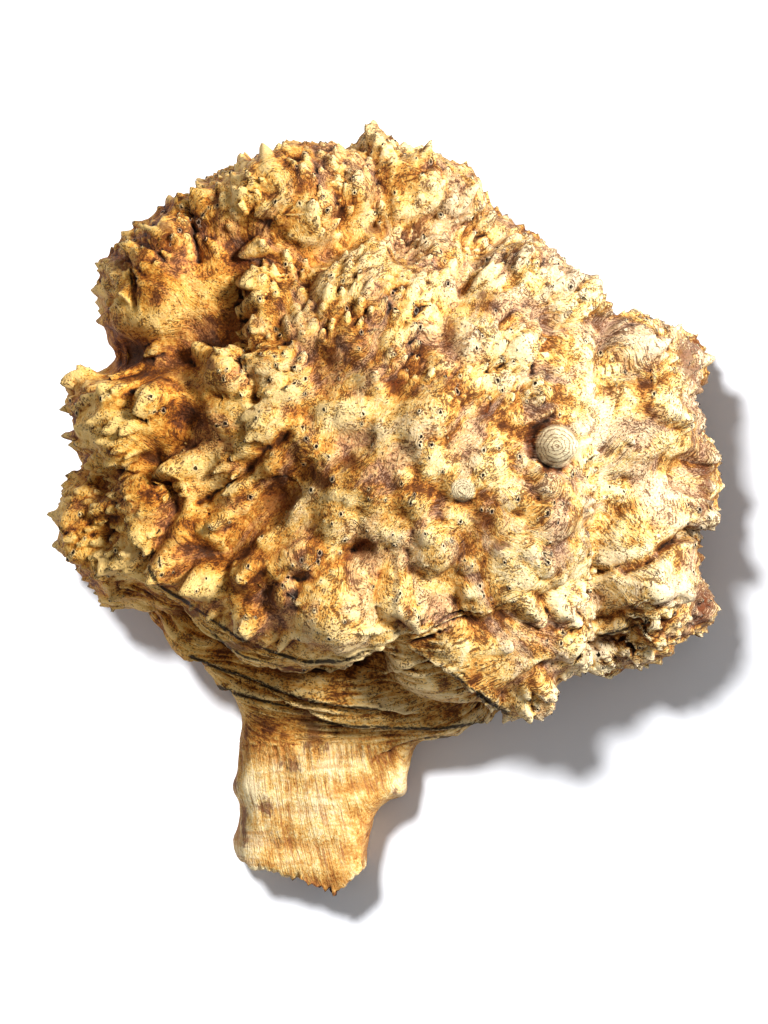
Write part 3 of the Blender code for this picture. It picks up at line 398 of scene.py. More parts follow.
# An eye's mound in its own radii, its lean and tail, and the reach of its ring and how softly that ends
EYE_MOUND = 1.5
EYE_LEAN = 0.1
EYE_TAIL = 1.2
EYE_FIELD = 4.0
EYE_REACH = (1.75, 0.6)
# The offset of points that no eye is near to, in radii
AWAY_FROM_EYES = 9.0

# Fibres: groove spacing across the grain, run along it, and depth on the body, collar and stub, in mm
FIBRE_WIDTH = 2.6
FIBRE_RUN = 30.0
FIBRE_DEPTH = (0.35, 1.9, 0.7)
# The grain's slow wandering: its length in mm, how far it turns on the sides, and steps aside in mm on top
WANDER_LENGTH = 34.0
WANDER_TURN = 0.16
WANDER_STEP = 9.0
# How far from the crown's middle the grain on the sides is true to size, and where the top's grain gives way
# to it, in mm. The collar's arcs have their centre this far above a pixel, and the top's grain stays above a
# height
SIDE_REACH = 110.0
TOP_REACH = (62.0, 84.0)
COLLAR_REACH = 190.0
COLLAR_MIDDLE = (330, 640)
TOP_LOWEST = 60 * MM
# The top's diagonal run, and how the collar's and the stub's grain shifts with height and across the picture
DIAGONAL = 0.7
COLLAR_SHIFT = 0.6
STUB_SHIFT = (0.18, 0.5)
# Ripples across the stub: length, width and height in mm
RIPPLE_LENGTH = 13.0
RIPPLE_WIDTH = 60.0
RIPPLE_HEIGHT = 2.4
# Roughness of the whole surface: bump length and height in mm
ROUGH_LENGTH = 4.5
ROUGH_HEIGHT = 0.55
# How much of the roughness the collar and the stub lack
ROUGH_CALM = (0.6, 0.75)
# Torn ends: a strand's width, length and depth in mm, how far one may stand past the next, and the share of
# it that they do
STRAND_WIDTH = 2.6
STRAND_LENGTH = 40.0
STRAND_DEPTH = 7.8
STRAND_STEP = 9.0
STRAND_SHARE = 0.6
# The two striped nodules: pixel, reach in mm, and the height over the table that their tops are above
RINGED = (((557, 446), 14.0), ((463, 490), 8.0))
RINGED_LOWEST = 100 * MM
# The distance given to points that no striped nodule is near to
FAR = 99.0

# Where grey film lies thick: the middle of each place in the picture, and its half sizes in pixels
GREYED = (
    ((450, 200), (34, 40)), ((425, 245), (30, 22)), ((555, 262), (52, 15)), ((520, 300), (26, 16)),
    ((372, 300), (14, 44)), ((300, 330), (12, 40)), ((470, 440), (18, 34)), ((560, 520), (14, 44)),
    ((412, 560), (40, 12)), ((345, 610), (34, 12)), ((600, 330), (24, 18)), ((640, 420), (30, 20)),
)
# How many rounds of smoothing give the wood around a point, for hollows and for dents
HOLLOW_ROUNDS = 160
DENT_ROUNDS = 12
# How many rounds soften the edges of the collar and stub, and of stains, how far a stain reaches in its half
# sizes, and over how many pixels the collar turns into the stub
MASK_ROUNDS = 6
STAIN_ROUNDS = 8
STAIN_REACH = 1.3
STUB_BLEND = 90.0

# Brown stains that the picture shows: pixel, and half sizes across and down the picture
STAINS = (
    ((305, 716), (16, 16)), ((318, 742), (14, 20)), ((286, 764), (14, 8)),
    ((690, 362), (20, 34)), ((702, 390), (12, 26)), ((705, 500), (9, 30)), ((704, 560), (9, 30)),
    ((703, 610), (12, 22)),
    ((290, 672), (26, 10)), ((315, 737), (16, 26)), ((265, 805), (10, 16)), ((395, 385), (16, 9)),
    ((367, 547), (20, 20)), ((453, 383), (16, 9)), ((325, 480), (20, 16)), ((350, 461), (20, 11)),
    ((485, 520), (18, 20)), ((280, 502), (28, 22)), ((166, 236), (12, 16)), ((232, 330), (12, 30)),
    ((300, 560), (12, 8)), ((426, 187), (8, 9)), ((376, 228), (12, 8)), ((690, 345), (20, 16)),
    ((198, 672), (12, 8)), ((300, 700), (20, 6)), ((342, 806), (9, 5)), ((236, 782), (6, 14)),
    ((530, 446), (5, 24)), ((546, 470), (16, 5)), ((462, 190), (9, 10)), ((428, 138), (8, 10)),
    ((485, 410), (9, 14)), ((330, 358), (7, 16)), ((448, 334), (8, 26)), ((483, 296), (12, 10)),
    ((345, 556), (12, 6)), ((500, 545), (12, 8)), ((292, 766), (9, 14)), ((278, 842), (6, 8)),
    ((120, 262), (16, 12)), ((705, 600), (14, 22)), ((705, 480), (10, 40)), ((380, 130), (18, 8)),
    ((240, 260), (10, 26)), ((212, 366), (10, 12)), ((188, 612), (30, 8)), ((246, 646), (30, 7)),
    ((395, 790), (6, 8)), ((245, 825), (5, 26)), ((300, 190), (18, 6)), ((262, 214), (12, 8)),
)


def linear(hex_colour):
    """A colour given as an sRGB hex value, in linear light."""
    channels = [int(hex_colour[i:i + 2], 16) / 255.0 for i in (1, 3, 5)]
    return tuple(c / 12.92 if c <= 0.04045 else ((c + 0.055) / 1.055) ** 2.4 for c in channels)


def spread_at(height):
    """How much wider than at the rim the picture's pixels are at this height."""
    return (EYE_HEIGHT - height) / (EYE_HEIGHT - RIM_HEIGHT)


def place(pixel, height):
    """The point at this height that the picture shows at this pixel."""
    step = PIXEL * spread_at(height)
    return Vector(((pixel[0] - PICTURE_MIDDLE[0]) * step, (PICTURE_MIDDLE[1] - pixel[1]) * step, height))


def pixels_of(points):
    """Where the picture shows each of these points, as an array of pixels."""
    step = PIXEL * spread_at(points[:, 2])
    across = PICTURE_MIDDLE[0] + points[:, 0] / step
    down = PICTURE_MIDDLE[1] - points[:, 1] / step
    return np.stack((across, down), axis=1)


def smooth_step(value):
    held = np.clip(value, 0.0, 1.0)
    return held * held * (3.0 - 2.0 * held)


def between(pair, share):
    return pair[0] + (pair[1] - pair[0]) * share


def add_lobes(mesh):
    """One ellipsoid for each lobe."""
    for pixel, height, half_sizes, turn in LOBES.values():
        middle = place(pixel, height * MM)
        turned = Euler((0.0, 0.0, math.radians(turn)))
        matrix = Matrix.LocRotScale(middle, turned, Vector(half_sizes) * MM)
        bmesh.ops.create_icosphere(mesh, subdivisions=4, radius=1.0, matrix=matrix)


def add_stub(mesh):
    """The trunk's stub: its outline drawn up from below the saw cut, narrowing to a crowned outer face."""
    middle = sum((place(pixel, STUB_HEIGHT) for pixel in STUB_OUTLINE), Vector()) / len(STUB_OUTLINE)
    rings = []
    for height, share in ((SAWN_DEPTH, 1.0), (STUB_HEIGHT * STUB_EDGE, 1.0), (STUB_HEIGHT, STUB_TOP_SHARE)):
        ring = []
        for pixel in STUB_OUTLINE:
            point = place(pixel, height)
            point.x = middle.x + (point.x - middle.x) * share
            ring.append(mesh.verts.new(point))
        rings.append(ring)
    mesh.faces.new(rings[0])
    for low, high in zip(rings, rings[1:]):
        for i in range(len(low)):
            j = (i + 1) % len(low)
            mesh.faces.new((low[j], low[i], high[i], high[j]))
    top = mesh.verts.new(middle + Vector((0.0, 0.0, STUB_CROWN)))
    for i in range(len(rings[-1])):
        j = (i + 1) % len(rings[-1])
        mesh.faces.new((rings[-1][j], rings[-1][i], top))


def gaps_to_line(pixels, line):
    """Each pixel's nearest point on a line, its distance, and its side: 1 on the left, -1 on the right."""
    least = np.full(len(pixels), np.inf)
    side = np.ones(len(pixels))
    nearest = np.zeros((len(pixels), 2))
    corners = np.array(line, float)
    for start, end in zip(corners, corners[1:]):
        run = end - start
        share = np.clip(((pixels - start) @ run) / (run @ run), 0.0, 1.0)
        foot = start + share[:, None] * run
        gap = pixels - foot
        distance = np.hypot(gap[:, 0], gap[:, 1])
        nearer = distance < least
        least[nearer] = distance[nearer]
        nearest[nearer] = foot[nearer]
        turn = run[0] * gap[:, 1] - run[1] * gap[:, 0]
        side[nearer] = np.where(turn[nearer] <= 0.0, 1.0, -1.0)
    return nearest, least, side


def within(pixels, outline):
    """Whether each pixel is inside a closed outline."""
    inside = np.zeros(len(pixels), bool)
    for start, end in zip(outline, outline[1:] + outline[:1]):
        spans = (start[1] > pixels[:, 1]) != (end[1] > pixels[:, 1])
        rise = (end[1] - start[1]) or 1.0
        crossing = start[0] + (pixels[:, 1] - start[1]) * (end[0] - start[0]) / rise
        inside ^= spans & (pixels[:, 0] < crossing)
    return inside


def hold_to_outline(points):
    """Points moved in plan so that the picture's outline holds them, with room left for knobs."""
    pixels = pixels_of(points)
    nearest, distance, _ = gaps_to_line(pixels, OUTLINE + OUTLINE[:1])
    inside = within(pixels, OUTLINE)
    room = KNOB_ROOM * (1.0 - smooth_step((pixels[:, 1] - STUB_TOP_PIXEL) / ROOM_FADE))
    excess = np.where(inside, room - distance, room + distance)
    inward = (pixels - nearest) * np.where(inside, 1.0, -1.0)[:, None] / np.maximum(distance, 1e-6)[:, None]
    moved = pixels + inward * (np.maximum(excess, 0.0) * OUTLINE_HOLD)[:, None]
    step = PIXEL * spread_at(points[:, 2])
    held = points.copy()
    held[:, 0] = (moved[:, 0] - PICTURE_MIDDLE[0]) * step
    held[:, 1] = (PICTURE_MIDDLE[1] - moved[:, 1]) * step
    return held


def add_modifier(thing, name, kind, **settings):
    modifier = thing.modifiers.new(name, kind)
    for key, value in settings.items():
        setattr(modifier, key, value)


def applied(thing):
    """The object's mesh with its modifiers applied, as a new mesh."""
    graph = bpy.context.evaluated_depsgraph_get()
    made = bpy.data.meshes.new_from_object(thing.evaluated_get(graph))
    bpy.data.objects.remove(thing, do_unlink=True)
    return made


def linked(name, mesh):
    thing = bpy.data.objects.new(name, mesh)
    bpy.context.scene.collection.objects.link(thing)
    return thing


def vectors_of(mesh, name):
    """The mesh's points or normals as an array."""
    values = np.empty(len(mesh.vertices) * 3)
    mesh.vertices.foreach_get(name, values)
    return values.reshape(-1, 3)


def body_mesh():
    """The lobes and the stub run together into one smooth closed mesh."""
    draft = bmesh.new()
    add_lobes(draft)
    add_stub(draft)
    bmesh.ops.recalc_face_normals(draft, faces=draft.faces)
    mesh = bpy.data.meshes.new("body")
    draft.to_mesh(mesh)
    draft.free()
    thing = linked("body", mesh)
    add_modifier(thing, "run_together", "REMESH", mode="VOXEL", voxel_size=VOXEL)
    mesh = applied(thing)
    mesh.vertices.foreach_set("co", hold_to_outline(vectors_of(mesh, "co")).ravel())
    thing = linked("body", mesh)
    add_modifier(thing, "blend", "SMOOTH", factor=0.5, iterations=BLEND_ROUNDS)
    return applied(thing)


def finer(mesh, levels):
    thing = linked("finer", mesh)
    add_modifier(thing, "finer", "SUBSURF", levels=levels, render_levels=levels)
    return applied(thing)


def smoothed_points(mesh, rounds):
    """The mesh's points after this many rounds of smoothing, and their normals."""
    thing = linked("smoothed", mesh.copy())
    add_modifier(thing, "smooth", "SMOOTH", factor=0.5, iterations=rounds)
    made = applied(thing)
    result = vectors_of(made, "co"), vectors_of(made, "normal")
    bpy.data.meshes.remove(made)
    return result


def skin_of(mesh):
    """The mesh's faces, ready to be searched."""
    draft = bmesh.new()
    draft.from_mesh(mesh)
    skin = BVHTree.FromBMesh(draft)
    draft.free()
    return skin


def seen(skin, pixel):
    """The point and normal that the picture shows at this pixel."""
    eye = Vector((0.0, 0.0, EYE_HEIGHT))
    point, normal, _, _ = skin.ray_cast(eye, place(pixel, 0.0) - eye)
    if point is None:
        raise ValueError(f"no wood at pixel {pixel}")
    return point, normal


def last_seen(skin, start, end):
    """The point and normal at the end pixel, or just inside the rim when that pixel lies past it."""
    for part in np.linspace(1.0, 0.1, 10):
        pixel = np.array(start) + (np.array(end) - np.array(start)) * part
        try:
            return seen(skin, pixel)
        except ValueError:
            continue
    raise ValueError(f"no wood near pixel {end}")


class Surface:
    """A mesh's points and normals as arrays, which relief is added to in layers."""

    def __init__(self, mesh):
        self.mesh = mesh
        self.count = len(mesh.vertices)
        self.bent = np.zeros(self.count)
        self.read()

    def read(self):
        """Takes points and normals from the mesh, and starts a new layer."""
        self.points = vectors_of(self.mesh, "co")
        self.normals = vectors_of(self.mesh, "normal")
        self.moves = np.zeros((self.count, 3))
        self.raised = np.zeros(self.count)
        self.tree = None

    def write(self):
        """Moves the mesh's points by this layer, then starts the next."""
        self.mesh.vertices.foreach_set("co", (self.points + self.moves).ravel())
        self.mesh.update()
        self.read()

    def ready(self):
        """Makes the surface ready for knobs."""
        self.tree = kdtree.KDTree(self.count)
        for index, point in enumerate(self.points.tolist()):
            self.tree.insert(point, index)
        self.tree.balance()

    def knob(self, middle, normal, radius, height, lean, tail, front, sharp, full=2.0):
        """Raises a knob, with a long slope towards the crown and a short one past it, and bends the grain."""
        away = middle - place(CROWN_PIXEL, CROWN_HEIGHT)
        away.z *= LEVEL_LEAN
        away -= normal * away.dot(normal)
        if away.length < 1e-6:
            away = Vector((1.0, 0.0, 0.0))
        away.normalize()
        across = normal.cross(away)
        found = self.tree.find_range(middle, radius * max(tail, 1.0) + height)
        near = np.array([index for _, index, _ in found], dtype=int)
        if not len(near):
            return
        offset = self.points[near] - np.array(middle)
        along = offset @ np.array(away)
        side = offset @ np.array(across)
        depth = offset @ np.array(normal)
        along = np.where(along < 0.0, along / tail, along / front) / radius
        reach = np.sqrt(along**2 + (side / radius) ** 2 + (depth / (2.0 * radius)) ** 2)
        turn = np.arctan2(side, along) + middle.x / MM
        reach *= 1.0 + KNOB_RAGGED * (np.sin(2.0 * turn) + np.sin(3.0 * turn + 1.0))
        held = np.clip(1.0 - reach, 0.0, 1.0)
        dome = np.clip(1.0 - reach**2, 0.0, 1.0) ** full
        rise = (1.0 - sharp) * dome + sharp * held * np.sqrt(held)
        rise *= smooth_step(KNOB_REACH + self.normals[near] @ np.array(normal))
        lift = np.abs(height * rise)
        higher = lift > self.raised[near]
        chosen, rise = near[higher], rise[higher]
        self.raised[chosen] = lift[higher]
        push = np.outer(rise, np.array(normal)) + np.outer(rise**2 * lean, np.array(away))
        self.moves[chosen] = push * height
        self.bent[near] += side * dome * GRAIN_BEND / MM

    def spur(self, tip, root, normal, half_width, height):
        """Raises a spur that climbs from its root and drops steeply past its tip."""
        away = tip - root
        away -= normal * away.dot(normal)
        length = away.length
        away.normalize()
        across = np.array(normal.cross(away))
        found = self.tree.find_range(tip - away * (0.5 * length), 0.5 * length + half_width + height)
        near = np.array([index for _, index, _ in found], dtype=int)
        offset = self.points[near] - np.array(tip)
        along = offset @ np.array(away)
        run = np.clip(1.0 + along / length, 0.0, 1.0)
        width = half_width * between(SPUR_WIDTHS, run)
        side = (offset @ across) / width
        climb = smooth_step(run) * np.clip(1.0 - side**2, 0.0, 1.0)
        drop = np.clip(1.0 - (along / (SPUR_FRONT * half_width)) ** 2 - side**2, 0.0, 1.0)
        rise = np.where(along < 0.0, climb, drop)
        rise *= smooth_step(SPUR_REACH + self.normals[near] @ np.array(normal))
        self.bent[near] += side * width * rise * GRAIN_BEND / MM
        higher = height * rise > self.raised[near]
        chosen, rise = near[higher], rise[higher]
        self.raised[chosen] = height * rise
        push = np.outer(rise, np.array(normal)) + np.outer(rise**2 * SPUR_LEAN, np.array(away))
        self.moves[chosen] = push * height


def press_creases(surface):
    """Creases between the lobes and folds of the collar, on the side that the picture shows."""
    pixels = pixels_of(surface.points)
    facing = smooth_step((surface.normals[:, 2] - FACING[0]) / FACING[1])
    lift = np.zeros(surface.count)
    for depth, half_width, line in CREASES.values():
        _, distance, _ = gaps_to_line(pixels, line)
        lift -= depth * MM * np.exp(-((distance * PIXEL / (half_width * MM)) ** 2))
    for height, swelling, line in FOLDS.values():
        _, distance, side = gaps_to_line(pixels, line)
        distance *= PIXEL
        over = smooth_step(0.5 + 0.5 * side * distance / FOLD_DROP)
        above = (1.0 - FOLD_CUT) * np.exp(-distance / (swelling * MM))
        below = -FOLD_CUT * np.exp(-distance / (FOLD_HOLLOW * swelling * MM))
        lift += height * MM * (over * above + (1.0 - over) * below)
    surface.moves += surface.normals * (lift * facing)[:, None]


def swell(surface):
    """Slow swelling of the wood everywhere, and folds that run down its sides from the crown."""
    crown = place(CROWN_PIXEL, 0.0)
    steep = smooth_step((RIB_STEEP[0] - surface.normals[:, 2]) / RIB_STEEP[1])
    on_stub = smooth_step((pixels_of(surface.points)[:, 1] - STUB_TOP_PIXEL + STUB_FADE) / STUB_FADE)
    heights = np.zeros(surface.count)
    for index, (x, y, z) in enumerate(surface.points.tolist()):
        height = noise.fractal(Vector((x, y, z)) / SWELL_LENGTH, 1.0, 2.0, 3) * SWELL_HEIGHT
        turn = math.atan2(y - crown.y, x - crown.x)
        around = Vector((math.cos(turn), math.sin(turn), z / (RIBS * SWELL_LENGTH))) * RIBS / 3.0
        heights[index] = height + noise.noise(around) * 2.0 * RIB_HEIGHT * steep[index]
    surface.moves += surface.normals * (heights * (1.0 - STUB_CALM * on_stub))[:, None]


def raise_bulges(surface):
    """The large bulges and hollows, each where the picture shows it."""
    skin = skin_of(surface.mesh)
    for pixel, radius, height, lean in BULGES:
        surface.knob(*seen(skin, pixel), radius * MM, height * MM, lean, BULGE_TAIL, 1.0, 0.0, BULGE_FULL)
    for pixel, radius, depth in HOLLOWS:
        surface.knob(*seen(skin, pixel), radius * MM, -depth * MM, 0.0, BULGE_TAIL, 1.0, 0.0)


def raise_spurs(surface):
    """The spurs, each where the picture shows its root and its tip."""
    skin = skin_of(surface.mesh)
    for tip_pixel, root_pixel, half_width, height in SPURS:
        root, root_normal = seen(skin, root_pixel)
        tip, normal = last_seen(skin, root_pixel, tip_pixel)
        surface.spur(tip, root, (normal + root_normal).normalized(), half_width * MM, height * MM)


def is_bare(point, bulges):
    """Whether knobs keep clear of this point of the body."""
    if any((point - middle).length < clear for middle, clear in bulges):
        return True
    pixel = pixels_of(np.array([point]))
    _, distance, _ = gaps_to_line(pixel, CREASES["west_valley"][2])
    if any(within(pixel, patch)[0] for patch in SMOOTH_PATCHES) and point.z > SMOOTH_LOWEST:
        return True
    return bool(within(pixel, BARE_OUTLINE)[0]) or distance[0] * PIXEL < BARE_VALLEY


class Spaced:
    """Points that keep a least gap."""

    def __init__(self, gap):
        self.gap = gap
        self.cells = {}

    def cell(self, point):
        return tuple(int(math.floor(value / self.gap)) for value in point)

    def has_room(self, point):
        """Whether no kept point is nearer than the gap."""
        x, y, z = self.cell(point)
        around = [(x + i, y + j, z + k) for i in (-1, 0, 1) for j in (-1, 0, 1) for k in (-1, 0, 1)]
        kept = (other for cell in around for other in self.cells.get(cell, ()))
        return not any((point - other).length < self.gap for other in kept)

    def keep(self, point):
        self.cells.setdefault(self.cell(point), []).append(point)


def knob_places(skin, size):
    """Points on the body, at least a gap apart, each with two drawn shares."""
    draw = random.Random(size["seed"])
    spaced = Spaced(size["gap"] * MM)
    bulges = [(seen(skin, pixel)[0], min(radius * BARE_SHARE * MM, BARE_MOST))
              for pixel, radius, _, _ in BULGES]
    found = []
    for _ in range(size["count"] * TRIES_A_KNOB):
        guess = Vector([draw.uniform(low, high) for low, high in DRAW_BOX])
        shares = (draw.random(), draw.random())
        point, normal, _, distance = skin.find_nearest(guess)
        if distance > DRAW_DEPTH or point.z < LOWEST_KNOB or (guess - point).dot(normal) < 0.0:
            continue
        if not spaced.has_room(point) or is_bare(point, bulges):
            continue
        spaced.keep(point)
        found.append((point, shares))
        if len(found) == size["count"]:
            break
    return found


def raise_knobs(surface, size, places):
    """Knobs of one size, each on the surface nearest to its place."""
    skin = skin_of(surface.mesh)
    for place_on_body, shares in places:
        point, normal, _, _ = skin.find_nearest(place_on_body)
        outward = float(smooth_step((point - place(CROWN_PIXEL, CROWN_HEIGHT)).length / RIM_REACH))
        radius = between(size["radius"], shares[0]) * MM
        height = between(size["height"], shares[1]) * MM * between(GAIN, outward)
        lean = between(LEAN, outward)
        surface.knob(point, normal, radius, height, lean, KNOB_TAIL, KNOB_FRONT, between(SHARPNESS, outward))


def raise_fingers(surface, allowed):
    """Fingers in patches on the allowed points. Returns the points of their tips."""
    draw = random.Random(FINGERS["seed"])
    spaced = Spaced(FINGERS["gap"] * MM)
    candidates = np.flatnonzero(allowed).tolist()
    draw.shuffle(candidates)
    crown = place(CROWN_PIXEL, CROWN_HEIGHT)
    axis = Vector(CROWN_AXIS)
    tips = []
    for index in candidates:
        tip = Vector(surface.points[index])
        patch = noise.noise(tip / (FINGER_PATCH * MM))
        if patch < draw.uniform(-PATCH_EDGE, PATCH_EDGE) or not spaced.has_room(tip):
            continue
        spaced.keep(tip)
        away = tip - crown
        away.z *= LEVEL_LEAN
        reach = away.length
        turned = AXIS_SHARE * float(smooth_step(AXIS_FADE - reach / AXIS_REACH))
        away = away.normalized() + axis * math.copysign(turned, away.dot(axis))
        normal = Vector(surface.normals[index])
        away = (away - normal * away.dot(normal)).normalized()
        half_width, height, length = (between(FINGERS[name], draw.random()) * MM
                                      for name in ("half_width", "height", "length"))
        surface.spur(tip, tip - away * length, normal, half_width, height)
        tips.append(index)
    return tips


def raise_eyes(surface, places, tips):
    """Clusters of eyes on bulges and knobs, and one on some fingers. Returns each eye's point and radius."""
    draw = random.Random(EYES["seed"])
    spaced = Spaced(EYES["gap"] * MM)
    skin = skin_of(surface.mesh)
    spots = [index for index in tips if draw.random() < EYES_ON_FINGERS]
    summits = [(seen(skin, pixel)[0], BULGE_EYE_REACH * radius * MM, EYES["cluster"])
               for pixel, radius, _, _ in BULGES
               if radius < WIDE_BULGE or draw.random() < EYES_ON_WIDE_BULGES]
    summits += [(spot, KNOB_EYE_REACH, KNOB_CLUSTER) for sizes in places for spot, _ in sizes
                if draw.random() < EYES_ON_KNOBS]
    for summit, reach, cluster in summits:
        summit, normal, _, _ = skin.find_nearest(summit)
        for _ in range(draw.randint(*cluster)):
            spot = summit + Vector([draw.gauss(0.0, EYE_SCATTER) for _ in range(3)]) * reach
            spots.append(surface.tree.find(spot)[1])
    eyes = []
    for index in spots:
        point = Vector(surface.points[index])
        if any((point - seen(skin, pixel)[0]).length < reach * MM for pixel, reach in RINGED):
            continue
        if not spaced.has_room(point):
            continue
        spaced.keep(point)
        radius = between(EYES["radius"], draw.random()) * MM
        height = between(EYES["height"], draw.random()) * MM
        normal = Vector(surface.normals[index])
        surface.knob(point, normal, EYE_MOUND * radius, height, EYE_LEAN, EYE_TAIL, 1.0, 0.0)
        eyes.append((index, radius))
    return eyes


def offsets_from_eyes(surface, eyes):
    """Each point's offset from its nearest eye, in the eye's radii, and how near it is: 1 on it, 0 far off."""
    least = np.full(surface.count, np.inf)
    offsets = np.full((surface.count, 3), AWAY_FROM_EYES)
    surface.ready()
    for index, radius in eyes:
        middle = surface.points[index]
        found = surface.tree.find_range(Vector(middle), EYE_FIELD * radius)
        near = np.array([other for _, other, _ in found], dtype=int)
        distance = np.array([gap for _, _, gap in found]) / radius
        nearer = distance < least[near]
        chosen = near[nearer]
        least[chosen] = distance[nearer]
        offsets[chosen] = (surface.points[chosen] - middle) / radius
    return offsets, smooth_step((EYE_REACH[0] - least) / EYE_REACH[1])


def break_stub(surface):
    """Pulls what reaches past the stub's broken ends back onto them, strand by strand."""
    for pixel, outward in BREAKS:
        on_break = np.array(place(pixel, STUB_HEIGHT * 0.5))
        direction = np.array((outward[0], outward[1], 0.0))
        direction /= np.linalg.norm(direction)
        past = (surface.points - on_break) @ direction
        near_stub = pixels_of(surface.points)[:, 1] > BREAK_TOP_PIXEL
        reached = np.flatnonzero(near_stub & (past > -STRAND_STEP * MM))
        for index in reached.tolist():
            x, y, z = surface.points[index].tolist()
            cell = (x / (STRAND_WIDTH * MM), y / (STRAND_LENGTH * MM), z / (STRAND_DEPTH * MM))
            strand = noise.noise(Vector(cell))
            strand = STRAND_STEP * MM * min(max(0.5 + strand, 0.0), 1.0) * STRAND_SHARE
            surface.points[index] -= direction * max(past[index] + strand, 0.0)


def region_masks(surface, edges):
    """How much each point belongs to the collar and to the stub."""
    pixels = pixels_of(surface.points)
    bare = within(pixels, BARE_OUTLINE).astype(float)
    stub = smooth_step((pixels[:, 1] - STUB_TOP_PIXEL) / STUB_BLEND) * bare
    collar = bare * (1.0 - stub)
    return spread_out(collar, edges, MASK_ROUNDS), spread_out(stub, edges, MASK_ROUNDS)


def spread_out(values, edges, rounds):
    """Values shared with their neighbours on the mesh, this many times over."""
    size = len(values)
    count = np.maximum(np.bincount(edges.ravel(), minlength=size), 1)
    for _ in range(rounds):
        total = sum(np.bincount(edges[:, here], values[edges[:, there]], size)
                    for here, there in ((0, 1), (1, 0)))
        values = 0.5 * values + 0.5 * total / count
    return values


def grain_of(surface):
    """Where each point lies across and along the grain, in mm, for each way that the grain runs.

    Fibres run down from the crown over the sides, from north-east to south-west on top of it, across the
    picture on the collar, and down it on the stub.
    """
    x, y, z = (surface.points / MM).T
    crown = place(CROWN_PIXEL, 0.0) / MM
    reach = np.hypot(x - crown.x, y - crown.y)
    rows = (surface.points / (WANDER_LENGTH * MM)).tolist()
    wander = np.array([noise.noise(Vector(row)) for row in rows])
    turn = np.arctan2(x - crown.x, y - crown.y) + wander * WANDER_TURN
    middle = place(COLLAR_MIDDLE, 0.0) / MM
    return {
        "side": (turn * SIDE_REACH + surface.bent, reach - z),
        "top": ((x - y) * DIAGONAL + wander * WANDER_STEP + surface.bent, (x + y) * DIAGONAL),
        "collar": (np.hypot(x - middle.x, y - middle.y - COLLAR_REACH) - COLLAR_SHIFT * z, x),
        "stub": (x + STUB_SHIFT[0] * y + STUB_SHIFT[1] * z, y),
    }


def add_fibres(surface, grain, top, collar, stub):
    """Grooves between the fibres and a fine roughness, deepest on the collar and stub."""
    body_depth, collar_depth, stub_depth = FIBRE_DEPTH
    depth = body_depth + (collar_depth - body_depth) * collar + (stub_depth - body_depth) * stub
    rough = ROUGH_HEIGHT * (1.0 - ROUGH_CALM[0] * collar - ROUGH_CALM[1] * stub)
    kinds = [stub > 0.5, collar > 0.5, top > 0.5]
    names = ("stub", "collar", "top")
    across, along = (np.select(kinds, [grain[name][i] for name in names], grain["side"][i]) for i in (0, 1))
    lift = np.zeros(surface.count)
    rows = zip(surface.points.tolist(), (across / FIBRE_WIDTH).tolist(), (along / FIBRE_RUN).tolist())
    for index, ((x, y, z), over, run) in enumerate(rows):
        groove = noise.noise(Vector((over, run, 0.0)))
        lump = noise.fractal(Vector((x, y, z)) / (ROUGH_LENGTH * MM), 1.0, 2.0, 2)
        lift[index] = groove * depth[index] + lump * rough[index]
        if stub[index] > 0.0:
            ripple = noise.noise(Vector((x / (RIPPLE_WIDTH * MM), y / (RIPPLE_LENGTH * MM), 5.0)))
            lift[index] += ripple * RIPPLE_HEIGHT * stub[index]
    surface.moves += surface.normals * (lift * MM)[:, None]


def offsets_from_nodules(points):
    """Each point's distance from the nearer striped nodule's top, in that nodule's reach."""
    least = np.full(len(points), FAR)
    pixels = pixels_of(points)
    for pixel, reach in RINGED:
        gap = (pixels - np.array(pixel, float)) * PIXEL / MM
        distance = np.hypot(gap[:, 0], gap[:, 1]) / reach
        least = np.minimum(least, np.where(points[:, 2] > RINGED_LOWEST, distance, FAR))
    return least


def shape(mesh, places):
    """Adds the relief to the body, from the largest forms to the smallest, and marks it for the materials."""
    surface = Surface(mesh)
    edges = np.empty(len(mesh.edges) * 2, dtype=np.int32)
    mesh.edges.foreach_get("vertices", edges)
    edges = edges.reshape(-1, 2)
    break_stub(surface)
    swell(surface)
    press_creases(surface)
    surface.write()
    smooth_body = surface.points.copy()
    surface.ready()
    raise_bulges(surface)
    surface.write()
    for size, spots in zip(KNOB_SIZES, places):
        surface.ready()
        raise_knobs(surface, size, spots)
        surface.write()
    surface.ready()
    raise_spurs(surface)
    surface.write()
    pixels = pixels_of(surface.points)
    _, distance, _ = gaps_to_line(pixels, CREASES["west_valley"][2])
    knobbly = ~within(pixels, BARE_OUTLINE) & (surface.points[:, 2] > LOWEST_KNOB)
    knobbly &= distance * PIXEL > BARE_VALLEY * VALLEY_SHARE
    for patch in SMOOTH_PATCHES:
        knobbly &= ~(within(pixels, patch) & (surface.points[:, 2] > SMOOTH_LOWEST))
    calm = within(pixels, CALM_OUTLINE) & (surface.points[:, 2] > CALM_LOWEST)
    surface.ready()
    tips = raise_fingers(surface, knobbly & ~calm)
    surface.write()
    surface.ready()
    eyes = raise_eyes(surface, places, tips)
    surface.write()
    collar, stub = region_masks(surface, edges)
    relief = np.sum((surface.points - smooth_body) * surface.normals, axis=1) / MM
    crown = place(CROWN_PIXEL, 0.0)
    reach = np.hypot(surface.points[:, 0] - crown.x, surface.points[:, 1] - crown.y) / MM
    top = smooth_step((TOP_REACH[1] - reach) / (TOP_REACH[1] - TOP_REACH[0]))
    top *= surface.points[:, 2] > TOP_LOWEST
    grain = grain_of(surface)
    add_fibres(surface, grain, top, collar, stub)
    surface.write()
    mark(surface, edges, relief, grain, top, collar, stub, eyes)


